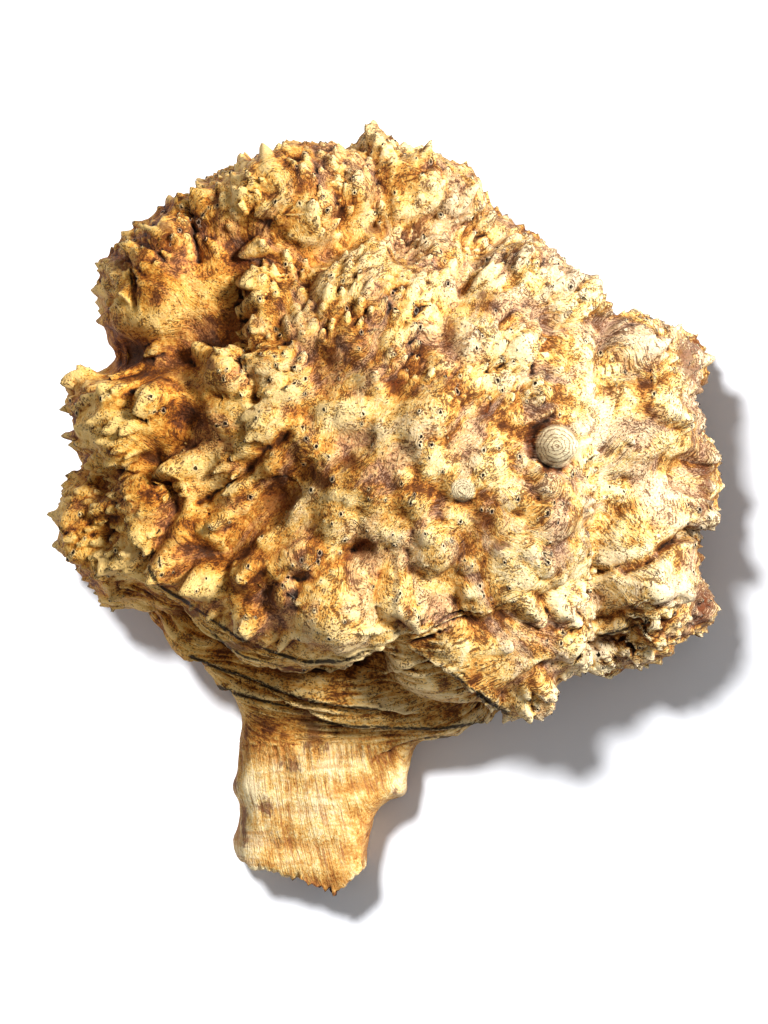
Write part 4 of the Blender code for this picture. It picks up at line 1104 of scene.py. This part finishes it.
def marked_at(pixels, marks):
    """How strongly marks of this kind cover each pixel."""
    covered = np.zeros(len(pixels))
    for pixel, half_sizes in marks:
        gap = (pixels - np.array(pixel, float)) / np.array(half_sizes, float)
        covered = np.maximum(covered, np.clip(STAIN_REACH - np.hypot(gap[:, 0], gap[:, 1]), 0.0, 1.0))
    return covered


def seams_at(pixels):
    """How near each pixel is to the bottom of a fold or a crease."""
    nearest = np.full(len(pixels), np.inf)
    for reach, line in SEAMS:
        nearest = np.minimum(nearest, gaps_to_line(pixels, line)[1] * PIXEL / (reach * MM))
    return np.exp(-nearest**2)


def mark(surface, edges, relief, grain, top, collar, stub, eyes):
    """Keeps on the mesh what the materials need to know at each point."""
    hollow_points, _ = smoothed_points(surface.mesh, HOLLOW_ROUNDS)
    dent_points, _ = smoothed_points(surface.mesh, DENT_ROUNDS)
    facing = surface.normals[:, 2] > 0.0
    pixels = pixels_of(surface.points)
    eye_offsets, near_eyes = offsets_from_eyes(surface, eyes)
    # The materials paint shade by hollow, dent and seam, and paint the wood paler by relief and dent where it
    # stands out
    values = {
        "hollow": np.sum((surface.points - hollow_points) * surface.normals, axis=1) / MM,
        "dent": np.sum((surface.points - dent_points) * surface.normals, axis=1) / MM,
        "relief": relief,
        "top": top,
        "collar": collar,
        "stub": stub,
        "eye_near": near_eyes,
        "nodule": offsets_from_nodules(surface.points),
        "seam": seams_at(pixels) * facing,
        "stain": spread_out(marked_at(pixels, STAINS) * facing, edges, STAIN_ROUNDS),
        "greyed": spread_out(marked_at(pixels, GREYED) * facing, edges, STAIN_ROUNDS),
    }
    for name, value in values.items():
        kept = surface.mesh.attributes.new(name, "FLOAT", "POINT")
        kept.data.foreach_set("value", value.astype(np.float32))
    flat = np.zeros(surface.count)
    grains = [(f"{name}_grain", np.stack((*parts, flat), axis=1)) for name, parts in grain.items()]
    for name, value in (*grains, ("eye", eye_offsets)):
        kept = surface.mesh.attributes.new(name, "FLOAT_VECTOR", "POINT")
        kept.data.foreach_set("vector", value.astype(np.float32).ravel())


def saw_back(mesh):
    """Cuts the back off flat and closes the cut."""
    draft = bmesh.new()
    draft.from_mesh(mesh)
    everything = draft.verts[:] + draft.edges[:] + draft.faces[:]
    down = (0.0, 0.0, -1.0)
    cut = bmesh.ops.bisect_plane(draft, geom=everything, plane_co=(0.0, 0.0, 0.0), plane_no=down, dist=1e-6,
                                 clear_outer=True)
    edges = [item for item in cut["geom_cut"] if isinstance(item, bmesh.types.BMEdge)]
    filled = bmesh.ops.triangle_fill(draft, use_beauty=True, use_dissolve=False, edges=edges, normal=down)
    for face in (item for item in filled["geom"] if isinstance(item, bmesh.types.BMFace)):
        face.normal_update()
        if face.normal.z > 0.0:
            face.normal_flip()
    bmesh.ops.triangulate(draft, faces=draft.faces)
    draft.to_mesh(mesh)
    draft.free()


def finish_sawn_back(mesh):
    """Sets what lies within a hair of the saw cut exactly on it, and gives the cut its own material."""
    for vertex in mesh.vertices:
        if vertex.co.z < SAWN_FLAT:
            vertex.co.z = 0.0
    for polygon in mesh.polygons:
        on_cut = max(mesh.vertices[i].co.z for i in polygon.vertices) < 1e-6
        polygon.material_index = 1 if on_cut else 0
        polygon.use_smooth = not on_cut


def add_node(tree, kind, inputs=None, stops=(), **settings):
    """Adds a node with its settings. An input is a value or another node's output."""
    made = tree.nodes.new("ShaderNode" + kind)
    for name, value in settings.items():
        setattr(made, name, value)
    for name, value in (inputs or {}).items():
        if isinstance(value, bpy.types.NodeSocket):
            tree.links.new(value, made.inputs[name])
        else:
            made.inputs[name].default_value = value
    if stops:
        elements = made.color_ramp.elements
        while len(elements) < len(stops):
            elements.new(1.0)
        for element, (position, colour) in zip(elements, stops):
            element.position = position
            element.color = (*colour, 1.0)
    return made


def started(name):
    """A new material, its tree and the shader in it."""
    material = bpy.data.materials.new(name)
    material.use_nodes = True
    return material, material.node_tree, material.node_tree.nodes["Principled BSDF"]


def debarked_wood(colours):
    """Burl wood left to weather without its bark: cream on the knobs, gold and brown between them, with
    painted light and shade on top: paler where the wood stands out and on the east, darker in hollows, dents,
    folds, on steep sides and on the west.
    """
    material, tree, shader = started("debarked_weathered_burl_wood")
    where = add_node(tree, "TexCoord").outputs["Object"]
    known = {}
    for name in ("hollow", "dent", "relief", "top", "collar", "stub", "stain", "greyed", "eye_near",
                 "nodule", "seam"):
        known[name] = add_node(tree, "Attribute", attribute_name=name).outputs["Fac"]

    # Patches of paler and darker wood, 35 mm and 9 mm across, and flecks of 1.6 mm
    patches = add_node(tree, "TexNoise", {
        "Vector": where, "Scale": 1 / 0.035, "Detail": 3.0, "Roughness": 0.55}).outputs["Fac"]
    spots = add_node(tree, "TexNoise", {
        "Vector": where, "Scale": 1 / 0.009, "Detail": 4.0, "Roughness": 0.65,
        "Distortion": 0.6}).outputs["Fac"]
    flecks = add_node(tree, "TexNoise", {
        "Vector": where, "Scale": 1 / 0.0016, "Detail": 2.0, "Roughness": 0.6}).outputs["Fac"]

    # The grain changes its way along a ragged line
    grain = add_node(tree, "Attribute", attribute_name="side_grain").outputs["Vector"]
    for name in ("top", "collar", "stub"):
        ragged = add_node(
            tree, "Math", {0: spots, 1: 0.9, 2: known[name]}, operation="MULTIPLY_ADD").outputs[0]
        ragged = add_node(tree, "Math", {0: ragged, 1: 0.95}, operation="GREATER_THAN").outputs[0]
        other = add_node(tree, "Attribute", attribute_name=f"{name}_grain").outputs["Vector"]
        grain = add_node(tree, "Mix", {0: ragged, 4: grain, 5: other}, data_type="VECTOR").outputs[1]

    # Fibres 0.9 mm wide, drawn that coarse to show
    thread = add_node(tree, "VectorMath", {0: grain, 1: (1 / 0.9, 1 / 11.0, 1.0)}, operation="MULTIPLY")
    fibres = add_node(tree, "TexNoise", {
        "Vector": thread.outputs[0], "Scale": 1.0, "Detail": 3.0, "Roughness": 0.65,
        "Distortion": 0.25}).outputs["Fac"]

    side = add_node(tree, "SeparateXYZ", {"Vector": where}).outputs[0]
    east = add_node(tree, "MapRange", {"Value": side, "From Min": -0.12, "From Max": 0.13}).outputs["Result"]
    # The tone mixes the wood's own patches, flecks and fibres and the paler collar and stub with painted light
    # and shade: paler where the wood stands out and towards the east, darker in dents and hollows
    tone = spots
    for part, share in ((patches, 1.9), (flecks, 0.9), (fibres, 0.55), (known["dent"], 0.5),
                        (known["hollow"], 0.085), (known["relief"], 0.022), (known["stub"], 0.14),
                        (known["collar"], 0.08), (east, 0.1)):
        tone = add_node(tree, "Math", {0: part, 1: share, 2: tone}, operation="MULTIPLY_ADD").outputs[0]
    tone = add_node(tree, "MapRange", {"Value": tone, "From Min": 1.60, "From Max": 2.80}).outputs["Result"]
    wood = add_node(tree, "ValToRGB", {"Fac": tone}, stops=(
        (0.0, colours.umber), (0.16, colours.brown), (0.32, colours.ochre), (0.50, colours.gold),
        (0.68, colours.straw), (0.88, colours.cream))).outputs["Color"]

    # Painted light and shade across the piece, together with the wood's weathering: the west is tinted darker
    # and more golden and the east paler and creamier, as the light falls from the east
    east = add_node(tree, "Math", {0: east, 1: known["stub"]}, operation="MAXIMUM").outputs[0]
    cast = add_node(tree, "Mix", {
        0: east, 6: (*colours.west_cast, 1.0), 7: (*colours.east_cast, 1.0)}, data_type="RGBA").outputs[2]
    wood = add_node(
        tree, "Mix", {0: 1.0, 6: wood, 7: cast}, data_type="RGBA", blend_type="MULTIPLY").outputs[2]

    # Coats over that wood, each with where it lies, from the lowest up. Thin streaks down the stub come first,
    # with painted shade in the hollows of its ripples
    coats = []
    down = add_node(tree, "VectorMath", {0: grain, 1: (1 / 1.3, 1 / 40.0, 1.0)}, operation="MULTIPLY")
    streaks = add_node(tree, "TexNoise", {
        "Vector": down.outputs[0], "Scale": 1.0, "Detail": 3.0, "Roughness": 0.6}).outputs["Fac"]
    streaks_and_ripple_shade = add_node(
        tree, "Math", {0: known["hollow"], 1: 0.11, 2: streaks}, operation="MULTIPLY_ADD").outputs[0]
    streaks_and_ripple_shade = add_node(tree, "MapRange", {
        "Value": streaks_and_ripple_shade, "From Min": 0.52, "From Max": 0.32, "To Max": 0.95}).outputs["Result"]
    streaks_and_ripple_shade = add_node(tree, "Math", {0: streaks_and_ripple_shade, 1: known["stub"]}, operation="MULTIPLY").outputs[0]
    coats.append((streaks_and_ripple_shade, colours.tan))

    # Brown bands across the stub, 9 mm apart
    level = add_node(
        tree, "VectorMath", {0: where, 1: (1 / 0.055, 1 / 0.009, 1 / 0.055)}, operation="MULTIPLY")
    level = add_node(tree, "TexNoise", {
        "Vector": level.outputs[0], "Scale": 1.0, "Detail": 3.0, "Roughness": 0.55,
        "Distortion": 0.4}).outputs["Fac"]
    level = add_node(tree, "MapRange", {
        "Value": level, "From Min": 0.50, "From Max": 0.38, "To Max": 0.6}).outputs["Result"]
    level = add_node(tree, "Math", {0: level, 1: known["stub"]}, operation="MULTIPLY").outputs[0]
    coats.append((level, colours.ochre))

    # Mauve-grey weathered film in bands over the crown and the north
    bands = add_node(tree, "VectorMath", {0: grain, 1: (1 / 16.0, 1 / 60.0, 1.0)}, operation="MULTIPLY")
    film = add_node(tree, "TexNoise", {
        "Vector": bands.outputs[0], "Scale": 1.0, "Detail": 4.0, "Roughness": 0.6}).outputs["Fac"]
    film = add_node(
        tree, "Math", {0: known["greyed"], 1: 0.13, 2: film}, operation="MULTIPLY_ADD").outputs[0]
    film = add_node(tree, "MapRange", {
        "Value": film, "From Min": 0.49, "From Max": 0.60, "To Max": 0.62}).outputs["Result"]
    body = add_node(tree, "Math", {0: 1.0, 1: known["collar"]}, operation="SUBTRACT").outputs[0]
    body = add_node(tree, "Math", {0: body, 1: known["stub"]}, operation="SUBTRACT").outputs[0]
    film = add_node(tree, "Math", {0: film, 1: body}, operation="MULTIPLY").outputs[0]
    greyer = add_node(tree, "Math", {0: east, 1: 0.85, 2: 0.15}, operation="MULTIPLY_ADD").outputs[0]
    film = add_node(tree, "Math", {0: film, 1: greyer}, operation="MULTIPLY").outputs[0]
    film_tone = add_node(tree, "MapRange", {
        "Value": flecks, "From Min": 0.35, "From Max": 0.6}).outputs["Result"]
    film_colour = add_node(tree, "Mix", {
        0: film_tone, 6: (*colours.mauve, 1.0), 7: (*colours.film, 1.0)}, data_type="RGBA").outputs[2]
    coats.append((film, film_colour))

    # Short dark dashes, 0.9 by 2.4 mm, where fibre ends are torn, thick in some patches and missing in others
    short = add_node(tree, "VectorMath", {0: grain, 1: (1 / 0.9, 1 / 2.4, 1.0)}, operation="MULTIPLY")
    dashes = add_node(tree, "TexNoise", {
        "Vector": short.outputs[0], "Scale": 1.0, "Detail": 2.0, "Roughness": 0.6}).outputs["Fac"]
    for part, share in ((spots, -0.5), (patches, -0.45), (flecks, 0.5), (east, 0.05)):
        dashes = add_node(tree, "Math", {0: part, 1: share, 2: dashes}, operation="MULTIPLY_ADD").outputs[0]
    dashes = add_node(tree, "MapRange", {
        "Value": dashes, "From Min": 0.37, "From Max": 0.43, "To Max": 0.85}).outputs["Result"]
    # Specks of 1 mm, which cover some patches and miss others
    specks = add_node(tree, "TexNoise", {
        "Vector": where, "Scale": 1 / 0.0011, "Detail": 1.0, "Roughness": 0.5}).outputs["Fac"]
    specks = add_node(tree, "Math", {0: spots, 1: -1.0, 2: specks}, operation="MULTIPLY_ADD").outputs[0]
    specks = add_node(tree, "MapRange", {
        "Value": specks, "From Min": 0.12, "From Max": 0.18, "To Max": 0.75}).outputs["Result"]
    dashes = add_node(tree, "Math", {0: dashes, 1: specks}, operation="MAXIMUM").outputs[0]
    torn = add_node(tree, "Math", {0: known["stub"], 1: -0.75, 2: 1.0}, operation="MULTIPLY_ADD").outputs[0]
    dashes = add_node(tree, "Math", {0: dashes, 1: torn}, operation="MULTIPLY").outputs[0]
    coats.append((dashes, colours.torn))

    # Painted shade: brown on the steep sides, which turn away from the light above
    facing = add_node(tree, "SeparateXYZ", {
        "Vector": add_node(tree, "NewGeometry").outputs["Normal"]}).outputs[2]
    steep = add_node(tree, "MapRange", {
        "Value": facing, "From Min": 0.55, "From Max": 0.1, "To Max": 0.6}).outputs["Result"]
    coats.append((steep, colours.brown))

    # Painted shade: brown in hollows, nearly black in the deepest dents
    painted_hollow_shade = known["hollow"]
    for part, share in ((fibres, 7.0), (spots, 5.0)):
        painted_hollow_shade = add_node(tree, "Math", {0: part, 1: share, 2: painted_hollow_shade}, operation="MULTIPLY_ADD").outputs[0]
    painted_hollow_shade = add_node(tree, "MapRange", {
        "Value": painted_hollow_shade, "From Min": 4.6, "From Max": 2.6, "To Max": 0.85}).outputs["Result"]
    coats.append((painted_hollow_shade, colours.brown))
    painted_dent_shade = add_node(
        tree, "Math", {0: spots, 1: 1.4, 2: known["dent"]}, operation="MULTIPLY_ADD").outputs[0]
    painted_dent_shade = add_node(tree, "MapRange", {
        "Value": painted_dent_shade, "From Min": 0.40, "From Max": -0.10, "To Max": 0.95}).outputs["Result"]
    coats.append((painted_dent_shade, colours.soot))

    # Painted shadow along the bottoms of folds and creases, nearly black
    painted_fold_shade = known["seam"]
    for part, share in ((flecks, 0.5), (spots, 1.4)):
        painted_fold_shade = add_node(tree, "Math", {0: part, 1: share, 2: painted_fold_shade}, operation="MULTIPLY_ADD").outputs[0]
    painted_fold_shade = add_node(tree, "MapRange", {
        "Value": painted_fold_shade, "From Min": 1.45, "From Max": 1.8, "To Max": 0.94}).outputs["Result"]
    coats.append((painted_fold_shade, colours.soot))

    # Stains, with black specks
    stain = known["stain"]
    for part, share in ((spots, 2.6), (fibres, 1.6)):
        stain = add_node(tree, "Math", {0: part, 1: share, 2: stain}, operation="MULTIPLY_ADD").outputs[0]
    stain = add_node(tree, "MapRange", {
        "Value": stain, "From Min": 2.60, "From Max": 3.0, "To Max": 0.8}).outputs["Result"]
    stain_tone = add_node(tree, "MapRange", {
        "Value": flecks, "From Min": 0.32, "From Max": 0.46}).outputs["Result"]
    stain_colour = add_node(tree, "Mix", {
        0: stain_tone, 6: (*colours.soot, 1.0), 7: (*colours.rust, 1.0)}, data_type="RGBA").outputs[2]
    coats.append((stain, stain_colour))

    # Eyes: a black pinhole, a pale rim round it and a thin dark line round that
    eye = add_node(tree, "Attribute", attribute_name="eye").outputs["Vector"]
    ragged = add_node(tree, "TexNoise", {
        "Vector": where, "Scale": 1 / 0.0022, "Detail": 1.0}).outputs["Color"]
    ragged = add_node(tree, "VectorMath", {0: ragged, 1: (0.9, 0.9, 0.9), 2: eye}, operation="MULTIPLY_ADD")
    ragged = add_node(tree, "VectorMath", {0: ragged.outputs[0], 1: (0.45, 0.45, 0.45)}, operation="SUBTRACT")
    ragged = add_node(tree, "VectorMath", {0: ragged.outputs[0], 1: (1.3, 0.85, 1.0)}, operation="MULTIPLY")
    from_eye = add_node(tree, "VectorMath", {0: ragged.outputs[0]}, operation="LENGTH").outputs["Value"]
    eye_ring = add_node(tree, "ValToRGB", {"Fac": add_node(
        tree, "Math", {0: from_eye, 1: 0.5}, operation="MULTIPLY").outputs[0]}, stops=(
        (0.0, (1.0, 0.0, 0.0)), (0.22, (1.0, 0.0, 0.0)), (0.28, (0.0, 0.2, 0.0)), (0.42, (0.0, 0.12, 0.0)),
        (0.48, (0.0, 0.0, 0.9)), (0.57, (0.0, 0.0, 0.9)), (0.66, (0.0, 0.0, 0.0)))).outputs["Color"]
    eye_parts = add_node(tree, "SeparateColor", {"Color": eye_ring})
    hole, rim, line = (
        add_node(tree, "Math", {0: part, 1: known["eye_near"]}, operation="MULTIPLY").outputs[0]
        for part in eye_parts.outputs)
    whole = add_node(tree, "MapRange", {"Value": spots, "From Min": 0.58, "From Max": 0.46}).outputs["Result"]
    line = add_node(tree, "Math", {0: line, 1: whole}, operation="MULTIPLY").outputs[0]
    coats += [(rim, colours.pale), (line, colours.umber), (hole, colours.soot)]

    # Growth rings round the two striped nodules, each a thin brown line
    ring = add_node(
        tree, "Math", {0: spots, 1: 0.4, 2: known["nodule"]}, operation="MULTIPLY_ADD").outputs[0]
    ring = add_node(tree, "Math", {0: ring, 1: 0.075}, operation="PINGPONG").outputs[0]
    ring = add_node(tree, "MapRange", {"Value": ring, "From Min": 0.028, "From Max": 0.010}).outputs["Result"]
    inside = add_node(tree, "MapRange", {
        "Value": known["nodule"], "From Min": 0.95, "From Max": 0.8, "To Max": 0.8}).outputs["Result"]
    coats.append((inside, colours.cream))
    ring = add_node(tree, "Math", {0: ring, 1: inside}, operation="MULTIPLY").outputs[0]
    coats.append((ring, colours.brown))

    for share, colour in coats:
        coat = colour if isinstance(colour, bpy.types.NodeSocket) else (*colour, 1.0)
        wood = add_node(tree, "Mix", {0: share, 6: wood, 7: coat}, data_type="RGBA").outputs[2]
    tree.links.new(wood, shader.inputs["Base Color"])
    shader.inputs["Roughness"].default_value = 0.7
    shader.inputs["Specular IOR Level"].default_value = 0.14
    heights = flecks
    for part, share in ((fibres, 1.2), (dashes, -0.5), (hole, -1.6), (rim, 0.5), (line, -0.6)):
        heights = add_node(
            tree, "Math", {0: part, 1: share, 2: heights}, operation="MULTIPLY_ADD").outputs[0]
    bump = add_node(tree, "Bump", {"Height": heights, "Strength": 1.0, "Distance": 0.8 * MM})
    tree.links.new(bump.outputs["Normal"], shader.inputs["Normal"])
    return material


def sawn_wood(colours):
    """Burl wood cut by a band saw: pale, with the swirls of its eyes and the saw's fine marks."""
    material, tree, shader = started("sawn_burl_wood")
    where = add_node(tree, "TexCoord").outputs["Object"]
    swirl = add_node(tree, "TexNoise", {
        "Vector": where, "Scale": 1 / 0.022, "Detail": 3.0, "Distortion": 2.4}).outputs["Fac"]
    eyes = add_node(tree, "TexVoronoi", {"Vector": where, "Scale": 1 / 0.013}).outputs["Distance"]
    rings = add_node(tree, "Math", {0: eyes, 1: 3.0, 2: swirl}, operation="MULTIPLY_ADD").outputs[0]
    rings = add_node(tree, "Math", {0: rings, 1: 0.28}, operation="PINGPONG").outputs[0]
    figure = add_node(tree, "ValToRGB", {"Fac": rings}, stops=(
        (0.0, colours.ochre), (0.10, colours.gold), (0.28, colours.straw))).outputs["Color"]
    pith = add_node(tree, "MapRange", {"Value": eyes, "From Min": 0.12, "From Max": 0.06}).outputs["Result"]
    figure = add_node(
        tree, "Mix", {0: pith, 6: figure, 7: (*colours.umber, 1.0)}, data_type="RGBA").outputs[2]
    marks = add_node(tree, "TexWave", {"Vector": where, "Scale": 1 / 0.012, "Distortion": 0.6, "Detail": 2.0},
                     bands_direction="X").outputs["Fac"]
    tree.links.new(figure, shader.inputs["Base Color"])
    shader.inputs["Roughness"].default_value = 0.7
    bump = add_node(tree, "Bump", {"Height": marks, "Strength": 0.5, "Distance": 0.3 * MM})
    tree.links.new(bump.outputs["Normal"], shader.inputs["Normal"])
    return material


def backdrop(colours):
    """Matt white paper, which shows nothing but the shadow."""
    material, _, shader = started("matt_white_paper")
    shader.inputs["Base Color"].default_value = (*colours.paper, 1.0)
    shader.inputs["Roughness"].default_value = 0.95
    shader.inputs["Specular IOR Level"].default_value = 0.1
    return material


def colour_property(name, description, hex_colour):
    return FloatVectorProperty(name=name, description=description, subtype="COLOR", size=3, min=0.0, max=1.0,
                               default=linear(hex_colour))


class BurlSettings(bpy.types.PropertyGroup):
    fineness: IntProperty(
        name="Fineness", description="How often the body's mesh is halved before its relief is added",
        default=2, min=1, max=2)
    triangles: IntProperty(
        name="Triangles", description="How many triangles the finished piece keeps", default=196000,
        min=20000)
    # Cream is also a painted highlight where the wood stands out
    cream: colour_property("Cream", "Wood that stands out", "#FBE9BC")
    pale: colour_property("Pale", "Tips of the knobs", "#FFF6DC")
    straw: colour_property("Straw", "Wood on the slopes", "#F0D08C")
    gold: colour_property("Gold", "Wood in shallow dips", "#DCAA5C")
    ochre: colour_property("Ochre", "Wood between the knobs", "#B87A38")
    # Brown also paints shade in hollows and on steep sides
    brown: colour_property("Brown", "Hollows", "#7A4720")
    # Umber also paints shade in the dents
    umber: colour_property("Umber", "Dents and torn fibres", "#3B1F0E")
    torn: colour_property("Torn", "Torn fibre ends", "#552C12")
    # Tan also paints shade in the hollows of the stub's ripples
    tan: colour_property("Tan", "Streaks on the stub", "#A56B45")
    rust: colour_property("Rust", "Stains", "#6E3210")
    # Soot also paints shade in the deepest dents and the shadow at the bottom of folds
    soot: colour_property("Soot", "Pinholes", "#140903")
    film: colour_property("Film", "Weathered film in the valleys", "#DEC5AC")
    mauve: colour_property("Mauve", "The film's darker grain", "#AE9079")
    # The west and east casts paint shade on the west and light on the east, as well as the wood's weathering
    west_cast: colour_property("West Cast", "Tint of the wood to the west", "#F4DAA4")
    east_cast: colour_property("East Cast", "Tint of the wood to the east", "#FFFAF2")


class StageSettings(bpy.types.PropertyGroup):
    floor_width: FloatProperty(
        name="Floor Width", description="Side of the square floor", default=6.0, subtype="DISTANCE",
        unit="LENGTH")
    key_power: FloatProperty(
        name="Key Power", description="Power of the main light", default=134.0, subtype="POWER", unit="POWER")
    shadow_power: FloatProperty(
        name="Shadow Power", description="Power of the light that only the floor gets", default=70.0,
        subtype="POWER", unit="POWER")
    sky: FloatProperty(name="Sky", description="Strength of the light from all sides", default=0.30, min=0.0)
    paper: colour_property("Paper", "The floor", "#F8FAFF")


class BURL_OT_wood(bpy.types.Operator):
    """Makes the burl, its collar and the stub of its trunk as one piece of wood"""

    bl_idname = "tree_burl.wood"
    bl_label = "Debarked Burl"

    def execute(self, context):
        settings = context.scene.tree_burl
        body = body_mesh()
        skin = skin_of(body)
        places = [knob_places(skin, size) for size in KNOB_SIZES]
        mesh = finer(body, levels=settings.fineness)
        shape(mesh, places)
        saw_back(mesh)
        full = linked("full", mesh)
        share = settings.triangles / len(mesh.polygons)
        if share < 1.0:
            add_modifier(full, "fewer", "DECIMATE", ratio=share, use_collapse_triangulate=True)
        burl = linked("debarked_burl", applied(full))
        burl.data.materials.clear()
        burl.data.materials.append(debarked_wood(settings))
        burl.data.materials.append(sawn_wood(settings))
        finish_sawn_back(burl.data)
        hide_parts("burl")
        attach(burl, "root")
        return {"FINISHED"}


class BURL_OT_stage(bpy.types.Operator):
    """Makes the floor, the lights and the camera that looks straight down"""

    bl_idname = "tree_burl.stage"
    bl_label = "Stage"

    def execute(self, context):
        settings = context.scene.tree_burl_stage
        half = settings.floor_width / 2.0
        mesh = bpy.data.meshes.new("floor")
        mesh.from_pydata([(-half, -half, 0.0), (half, -half, 0.0), (half, half, 0.0), (-half, half, 0.0)], [],
                         [(0, 1, 2, 3)])
        floor = linked("floor", mesh)
        mesh.materials.append(backdrop(settings))

        world = bpy.data.worlds.new("soft_sky")
        world.use_nodes = True
        world.node_tree.nodes["Background"].inputs["Color"].default_value = (1.0, 1.0, 1.0, 1.0)
        world.node_tree.nodes["Background"].inputs["Strength"].default_value = settings.sky
        context.scene.world = world

        burl_only = bpy.data.collections.new("lit_burl")
        floor_only = bpy.data.collections.new("lit_floor")
        floor_only.objects.link(floor)
        burl_only.objects.link(bpy.data.objects["debarked_burl"])
        lamps = (
            ("key", KEY_PLACE, KEY_WIDTH, settings.key_power, burl_only),
            ("shadow", SHADOW_PLACE, SHADOW_WIDTH, settings.shadow_power, floor_only),
        )
        for name, position, width, power, receivers in lamps:
            light = bpy.data.lights.new(name, "AREA")
            light.shape = "DISK"
            light.size = width
            light.energy = power
            lamp = bpy.data.objects.new(name, light)
            lamp.location = position
            aim = Vector((0.0, 0.0, AIM_HEIGHT)) - lamp.location
            lamp.rotation_euler = aim.to_track_quat("-Z", "Y").to_euler()
            context.scene.collection.objects.link(lamp)
            lamp.light_linking.receiver_collection = receivers

        camera = bpy.data.objects.new("camera", bpy.data.cameras.new("camera"))
        context.scene.collection.objects.link(camera)
        camera.location = (0.0, 0.0, EYE_HEIGHT)
        half_height = PICTURE_SIZE[1] / 2.0 * PIXEL / (EYE_HEIGHT - RIM_HEIGHT)
        camera.data.sensor_width = SENSOR_WIDTH
        camera.data.lens = SENSOR_WIDTH / 2.0 / half_height
        camera.data.shift_x = (PICTURE_SIZE[0] / 2.0 - PICTURE_MIDDLE[0]) / PICTURE_SIZE[1]
        camera.data.shift_y = -(PICTURE_SIZE[1] / 2.0 - PICTURE_MIDDLE[1]) / PICTURE_SIZE[1]
        context.scene.camera = camera
        context.scene.view_settings.view_transform = "Standard"
        return {"FINISHED"}


class BURL_PT_panel(bpy.types.Panel):
    """Lists what the add-on makes"""

    bl_label = "Tree Burl"
    bl_space_type = "VIEW_3D"
    bl_region_type = "UI"
    bl_category = "Tree Burl"

    def draw(self, context):
        layout = self.layout
        layout.operator(BURL_OT_wood.bl_idname)
        layout.operator(BURL_OT_stage.bl_idname)
        for settings in (context.scene.tree_burl, context.scene.tree_burl_stage):
            for name in settings.__annotations__:
                layout.prop(settings, name)


CLASSES = (BurlSettings, StageSettings, BURL_OT_wood, BURL_OT_stage, BURL_PT_panel)


def register():
    for made in CLASSES:
        bpy.utils.register_class(made)
    bpy.types.Scene.tree_burl = PointerProperty(type=BurlSettings)
    bpy.types.Scene.tree_burl_stage = PointerProperty(type=StageSettings)


def unregister():
    del bpy.types.Scene.tree_burl_stage
    del bpy.types.Scene.tree_burl
    for made in reversed(CLASSES):
        bpy.utils.unregister_class(made)


def main():
    register()
    bpy.ops.tree_burl.wood()
    bpy.ops.tree_burl.stage()


if __name__ == "__main__":
    main()
